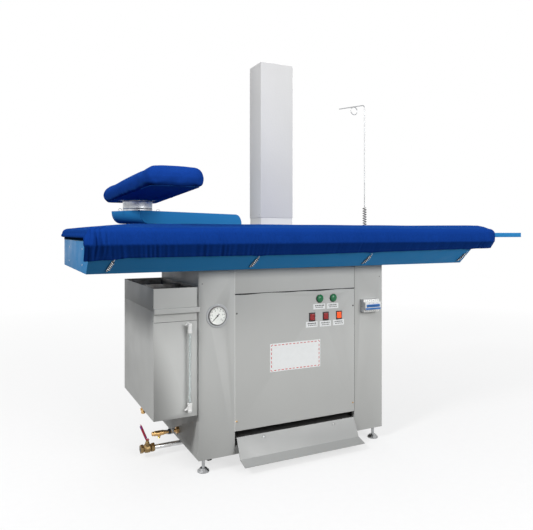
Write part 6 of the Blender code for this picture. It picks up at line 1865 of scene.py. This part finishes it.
        # Near-black strips between the poles: painted shade in the case's grooves.
        grooves = []
        for pole in (1, 2, 3):
            x = left + width * pole / 4
            for low, high, y in ((15.2, 25, -21), (-25, -15.2, -21), (8.4, 14.6, -33), (-14.6, -8.4, -33)):
                grooves.append(slab("groove", place(x - 0.35 * MM, y * MM - 0.15 * MM, z + low * MM),
                                    place(x + 0.35 * MM, y * MM + 0.2 * MM, z + high * MM), Finish.DARK, 0.05 * MM, 1))
        settle(join("breaker_grooves", *grooves), "black_plastic")
        poles = [place(left + width * (pole + 0.5) / 4, -21 * MM, z + side * 20.5 * MM)
                 for pole in range(4) for side in (-1, 1)]
        screws("breaker_screws", poles, Facing.FRONT, 2.6 * MM)
        side = [place(left, -10 * MM, z - 4 * MM)]
        screws("breaker_side_rivet", side, Facing.LEFT, 2.4 * MM, Finish.STEEL)

    def build(self) -> None:
        """Build the panel."""
        for name, x in zip(("left", "right"), self.lamp_places):
            self.lamp(name, x)
        self.rockers()
        self.stickers()
        self.breaker()


@dataclass
class FootPedal:
    """Folded foot pedal across the cabinet's front."""

    bolts: Sequence[Point] = ((0.2485, -0.0098, 0.0988), (0.554, -0.0098, 0.0988))
    lean: float = math.atan2(33.5, 71)

    def build(self) -> None:
        """Build the pedal and its bolts."""
        sheet = eased("pedal", "pedal_sheet", Finish.PEDAL, "grey_paint", 1.4 * MM)
        # Faces more than 2 mm behind the cabinet's front take dark dull steel: painted shade in the opening above the
        # pedal.
        tint_faces(sheet, Finish.STEEL, lambda middle, normal: middle.y > place(0, 2 * MM, 0)[1])
        profile = [(0, -0.4), (7, -0.4), (7, 0.8), (4.6, 1.1), (4.6, 3.4), (3.6, 4.2), (0, 4.2)]
        heads = []
        for spot in self.bolts:
            head = turned("bolt", profile, (0, 0, 0), Finish.ZINC, Axis.Y, 24)
            head.data.transform(Matrix.Translation(place(*spot)) @ Matrix.Rotation(self.lean, 4, "X"))
            heads.append(head)
        settle(join("pedal_bolts", *heads), "zinc", body="pedal")


@dataclass
class ExhaustDuct:
    """Exhaust box behind the cabinet and the tall duct on it."""

    left: float = 0.516
    back: float = 0.7

    def build(self) -> None:
        """Build the duct, its box and its screws."""
        eased("exhaust_duct", "duct_sheet", Finish.DUCT, "duct_grey", 0.9 * MM)
        eased("exhaust_box", "exhaust_box_sheet", Finish.DUCT, "duct_grey", 0.8 * MM)
        places = [place(x, self.back, z) for x in (0.53, 0.678) for z in (0.6, 0.9, 0.945, 1.3, 1.66)]
        screws("duct_rear_screws", places, Facing.BACK, 3.2 * MM)
        places = [place(self.left, y, z) for y in (0.585, 0.685) for z in (0.942, 1.668)]
        screws("duct_side_screws", places, Facing.LEFT, 3.0 * MM)


@dataclass
class HoseHanger:
    """Sprung wire hanger for the iron's hose, behind the table."""

    x: float = 1.136
    y: float = 0.576
    stub_top: float = 0.856
    coil_low: float = 0.8593
    coil_top: float = 0.99
    coil_radius: float = 9 * MM
    coil_wire: float = 2.2 * MM
    curls: float = 10.0
    rod_radius: float = 2.5 * MM
    rod_top: float = 1.535
    arm: float = 0.162
    droop: float = 34 * MM
    bend: float = 12 * MM
    ring: float = 20 * MM
    ring_share: float = 0.42

    def build(self) -> None:
        """Build the bracket, the coil and the rod with its ring."""
        eased("hanger_bracket", "hanger_clamp", Finish.TEAL, "teal_paint", 0.6 * MM)
        start, end = place(self.x, self.y, self.coil_low + 0.6 * MM), place(self.x, self.y, self.coil_top - 2 * MM)
        spring = coil("hanger_coil_wire", start, end, self.coil_radius, self.coil_wire, self.curls, Finish.STEEL)
        settle(spring, "dark_steel", "hanger_spring", body="hanger_coil")
        points = [place(self.x, self.y, self.stub_top + 0.4 * MM)]
        points += [place(self.x, self.y, self.rod_top - self.bend - 0.05 * step) for step in range(12, 0, -1)]
        slope = math.atan2(self.droop, self.arm)
        for step in range(13):
            angle = (math.pi / 2 + slope) * step / 12
            points.append(place(self.x - self.bend * (1 - math.cos(angle)), self.y,
                                self.rod_top - self.bend + self.bend * math.sin(angle)))
        points.append(place(self.x - self.arm, self.y, self.rod_top - self.droop))
        rod = tube("rod", points, self.rod_radius, Finish.SPRING, 4)
        across = self.x - self.arm * self.ring_share
        down = self.rod_top - self.droop * self.ring_share - self.ring
        turns = [2 * math.pi * step / 40 for step in range(41)]
        loop = [place(across + self.ring * math.sin(t), self.y, down + self.ring * math.cos(t)) for t in turns]
        piece = join("hanger_wire", rod, tube("ring", loop, self.rod_radius * 0.9, Finish.SPRING, 4))
        settle(piece, "zinc", "hanger_rod", body="hanger")


@dataclass
class WaterFittings:
    """Blowdown valve, water inlet and tank drain at the cabinet's left foot."""

    y: float = 0.235
    valve_x: float = -0.123
    valve_z: float = 36 * MM
    pipe: float = 9 * MM
    inlet_x: float = -78 * MM
    inlet_z: float = 86 * MM
    drain_x: float = -0.14
    drain_y: float = 0.23
    drain_low: float = 0.1717

    def blowdown(self) -> None:
        """Bronze ball valve with hexagon ends on a plated pipe."""
        at = place(self.valve_x, self.y, self.valve_z)
        body = turned("body", [(0, -26), (9, -26), (9, -20), (11.5, -14), (16.6, -8), (17, 0), (16.6, 8), (11.5, 14),
                               (11.5, 20), (0, 20)], at, Finish.BRONZE, Axis.X)
        left = turned("left_nut", [(0, -27), (15.5, -27), (17, -25.4), (17, -17), (15.5, -15.6), (0, -15.6)], at,
                      Finish.BRONZE, Axis.X, 6)
        right = turned("right_nut", [(0, 14), (15.5, 14), (17, 15.4), (17, 25.4), (15.5, 27), (0, 27)], at,
                       Finish.BRONZE, Axis.X, 6)
        bonnet = turned("bonnet", [(0, 10), (8, 10), (8, 22), (6, 24), (6, 30.8), (0, 30.8)], at, Finish.BRONZE, Axis.Z)
        settle(join("blowdown_body", body, left, right, bonnet), "brass", "blowdown_valve")
        end = turned("outlet_cap", [(0, -27.4), (10, -27.4), (10, -26.2), (0, -26.2)], at, Finish.BLACK, Axis.X)
        settle(end, "black_rubber")
        points = [(x, self.y, self.valve_z) for x in (self.valve_x + 0.02, 0.1, 0.22)]
        points += [(0.22 + 0.015 * math.sin(turn), self.y, self.valve_z + 0.015 * (1 - math.cos(turn)))
                   for turn in (0.5, 1.0, 1.5)]
        points.append((0.235, self.y, 0.0825))
        pipe = tube("blowdown_pipe", [place(*point) for point in points], self.pipe, Finish.ZINC, 8)
        settle(pipe, "zinc")
        eased("blowdown_lever", "dipped_handle", Finish.LEVER, "lever_red", 1 * MM)
        foot = Vector(place(self.valve_x - 5 * MM, self.y, self.valve_z + 38 * MM))
        head = Vector(place(self.valve_x - 25 * MM, self.y, self.valve_z + 87 * MM))
        for name, low, high, finish in (("lever_root", 0.0, 0.2, Finish.VIOLET),
                                        ("lever_grip", 0.2, 0.78, Finish.LEVER),
                                        ("lever_end", 0.78, 1.0, Finish.VIOLET)):
            points = [foot.lerp(head, low + (high - low) * step / 4) for step in range(5)]
            settle(tube(name, points, 4.6 * MM, finish, 4), "lever_red", body="drain_lever")

    def inlet(self) -> None:
        """Brass inlet with a gilt nipple and a black and white hose clamp."""
        at = place(self.inlet_x, self.y, self.inlet_z)
        body = turned("body", [(0, -28), (6.5, -28), (8, -26), (8, -20), (9.6, -18), (9.6, -6), (10, 0), (9.6, 6),
                               (9.6, 18), (8, 20), (8, 26), (6.5, 28), (0, 28)], at, Finish.BRASS, Axis.X)
        pipe = turned("pipe", [(0, 20), (6, 20), (6, 77.5), (0, 77.5)], at, Finish.BRASS, Axis.X)
        nut = turned("nut", [(0, 66.5), (13, 66.5), (14, 67.6), (14, 76.4), (13, 77.5), (0, 77.5)], at,
                     Finish.BRASS, Axis.X, 6)
        neck = turned("neck", [(0, 0), (7, 0), (7, -11), (5.4, -12), (0, -12)], at, Finish.BRASS, Axis.Z)
        settle(join("inlet_body", body, pipe, nut, neck), "brass", "inlet_valve")
        nipple = turned("inlet_nipple", [(0, -11), (4.6, -11), (5, -13), (4.2, -14.4), (5, -15.6), (4.2, -17),
                                         (4.6, -18.4), (3, -20), (0, -20)], at, Finish.GOLD, Axis.Z)
        settle(nipple, "brass")
        clamp = turned("clamp_band", [(6.6, 36), (9.2, 36), (9.6, 37), (9.6, 44), (9.2, 45), (6.6, 45)], at,
                       Finish.BLACK, Axis.X)
        settle(clamp, "black_rubber")
        collar = turned("clamp_collar", [(6.2, 48), (8.4, 48), (8.8, 49), (8.8, 55), (8.4, 56), (6.2, 56)], at,
                        Finish.WHITE, Axis.X)
        settle(collar, "white_plastic")

    def drain(self) -> None:
        """Brass drain cock with a branch under the tank."""
        body = turned("body", [(0, 0), (6.4, 0), (8, 1.6), (8, 9), (6.4, 11), (6.4, 19), (8, 21), (8, 28), (6, 30),
                               (6, 38), (0, 38)], place(self.drain_x, self.drain_y, self.drain_low), Finish.BRASS,
                      Axis.Z)
        at = place(self.drain_x, self.drain_y, self.drain_low + 16 * MM)
        branch = turned("branch", [(0, 0), (5.6, 0), (5.6, 14), (5, 15), (5, 30), (5.6, 31), (5.6, 38), (0, 38)], at,
                        Finish.STEEL, Axis.X)
        knob = turned("knob", [(0, -11), (3, -11), (4, -9), (4, -3), (0, -3)], at, Finish.BRASS, Axis.X)
        settle(join("drain_body", body, branch, knob), "brass", "tank_drain_cock")

    def build(self) -> None:
        """Build the fittings."""
        self.blowdown()
        self.inlet()
        self.drain()


@dataclass
class Undercarriage:
    """Levelling feet and casters."""

    def build(self) -> None:
        """Dress the feet, forks and wheels."""
        corners = ("front_left", "front_right", "rear_left", "rear_right")
        dress(Finish.SPRING, *("foot_" + corner for corner in corners))
        dress(Finish.ZINC, "caster_fork_left", "caster_fork_right")
        for corner in corners:
            eased("caster_wheel_" + corner, "tyre_" + corner, Finish.RUBBER, "black_rubber", 1.6 * MM)


@dataclass
class SteamAndSuction:
    """Boiler, pump, fan and motor inside the cabinet."""

    def build(self) -> None:
        """Dress what the cabinet holds."""
        dress(Finish.GALVANISED, "boiler")
        dress(Finish.CABINET, "fan_housing")
        dress(Finish.STEEL, "fan_motor", "water_pump", "fan_impeller")


@dataclass
class BuckArm:
    """Swinging arm and post that carry the sleeve buck."""

    def build(self) -> None:
        """Build the arm and its post."""
        eased("swing_arm", "arm_shell", Finish.TEAL, "teal_paint", 1.5 * MM)
        eased("arm_post", "arm_post_tube", Finish.TEAL, "teal_paint", 0.6 * MM)


# Studio


@dataclass
class Studio:
    """Pale floor, soft lamps and the camera."""

    camera_at: Point = (-1.22835, -2.103275, 0.853)
    heading: float = -26.23
    lens: float = 37.07
    drop: float = -0.0603
    floor_half: float = 14.0
    bounce: float = 0.1
    key: float = 118.0
    front: float = 125.0
    back: float = 45.0
    sky_low: float = 0.08
    sky_high: float = 0.8

    def floor_material(self) -> bpy.types.Material:
        """A diffuse floor that fades to white away from the object, where it is seen.

        Returns:
            The material.
        """
        sheet = FinishSheet("pale_floor")
        sheet.set(roughness=0.9, specular_ior_level=0.1)
        speck = sheet.spread(sheet.noise(40.0, 3.0), 0, 1)
        sheet.join(sheet.blend(speck, (0.74, 0.74, 0.745, 1), (0.77, 0.77, 0.772, 1)), "Base Color")
        glow = sheet.out("ShaderNodeEmission", {"Color": (1, 1, 1, 1), "Strength": 1.0})
        away = sheet.add("ShaderNodeVectorMath", {0: sheet.coords}, operation="LENGTH").outputs[1]
        rays = sheet.seen_rays()
        share = sheet.sum(sheet.spread(away, 0.7, 1.0, 1.1, 4.5), rays, "MULTIPLY")
        mix = sheet.out("ShaderNodeMixShader", {0: share, 1: sheet.shader.outputs[0], 2: glow})
        dull = sheet.out("ShaderNodeBsdfDiffuse", {"Color": (self.bounce, self.bounce, self.bounce, 1)})
        choice = sheet.out("ShaderNodeMixShader", {0: rays, 1: dull, 2: mix})
        sheet.tree.links.new(choice, sheet.output.inputs[0])
        return sheet.material

    def world(self) -> None:
        """Pale surroundings: white where they are seen, softer as light."""
        world = bpy.data.worlds.new("studio_air")
        world.use_nodes = True
        sheet = NodeSheet(world.node_tree)
        coords = sheet.add("ShaderNodeTexCoord", {}).outputs["Generated"]
        up = sheet.add("ShaderNodeSeparateXYZ", {0: coords}).outputs[2]
        sky = sheet.out("ShaderNodeMapRange", {0: up, 3: self.sky_low, 4: self.sky_high})
        strength = sheet.out("ShaderNodeMapRange", {0: sheet.seen_rays(), 3: sky, 4: 1.0})
        back = sheet.out("ShaderNodeBackground", {0: (1, 1, 1, 1), 1: strength})
        sheet.add("ShaderNodeOutputWorld", {0: back})
        bpy.context.scene.world = world

    def lamp(self, name: str, at: Point, towards: Point, size: float, energy: float) -> None:
        """A soft square lamp.

        Args:
            name: the lamp's name.
            at: its place.
            towards: the point that it faces.
            size: its side.
            energy: its power in watts.
        """
        light = bpy.data.lights.new(name, "AREA")
        light.shape = "SQUARE"
        light.size = size
        light.energy = energy
        holder = linked(name, light)
        holder.location = at
        holder.rotation_euler = (Vector(towards) - Vector(at)).to_track_quat("-Z", "Y").to_euler()

    def build(self) -> None:
        """Build the floor, world, lamps and camera."""
        shape = bmesh.new()
        bmesh.ops.create_grid(shape, x_segments=2, y_segments=2, size=self.floor_half)
        mesh = bpy.data.meshes.new("floor")
        shape.to_mesh(mesh)
        shape.free()
        mesh.materials.append(self.floor_material())
        floor = linked("floor", mesh)
        self.world()
        self.lamp("side_lamp", (-3.6, -1.55, 3.2), (-0.2, 0, 0.55), 0.8, self.key)
        self.lamp("front_lamp", (0.7, -3.9, 2.0), (0, 0, 0.6), 2.4, self.front)
        self.lamp("back_lamp", (0.9, 3.3, 3.0), (0, 0, 0.8), 2.6, self.back)
        camera = bpy.data.cameras.new("camera")
        camera.lens = self.lens
        camera.sensor_width = 36.0
        camera.shift_y = self.drop
        camera.clip_end = 60.0
        holder = linked("camera", camera)
        holder.location = self.camera_at
        holder.rotation_euler = (math.pi / 2, 0, math.radians(self.heading))
        scene = bpy.context.scene
        scene.camera = holder
        scene.view_settings.view_transform = "Standard"


def main() -> None:
    """Build every sub-assembly in order."""
    logging.basicConfig(level=logging.INFO)
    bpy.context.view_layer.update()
    for part in (Studio(), Cabinet(), WaterTank(), PressureGauge(), ControlPanel(), FootPedal(), ExhaustDuct(),
                 WaterFittings(), Undercarriage(), SteamAndSuction(), HoseHanger(), TableTop(), BuckArm(),
                 SleeveBuck(), TableCover()):
        part.build()
        LOG.info("%s built", type(part).__name__)


if __name__ == "__main__":
    main()
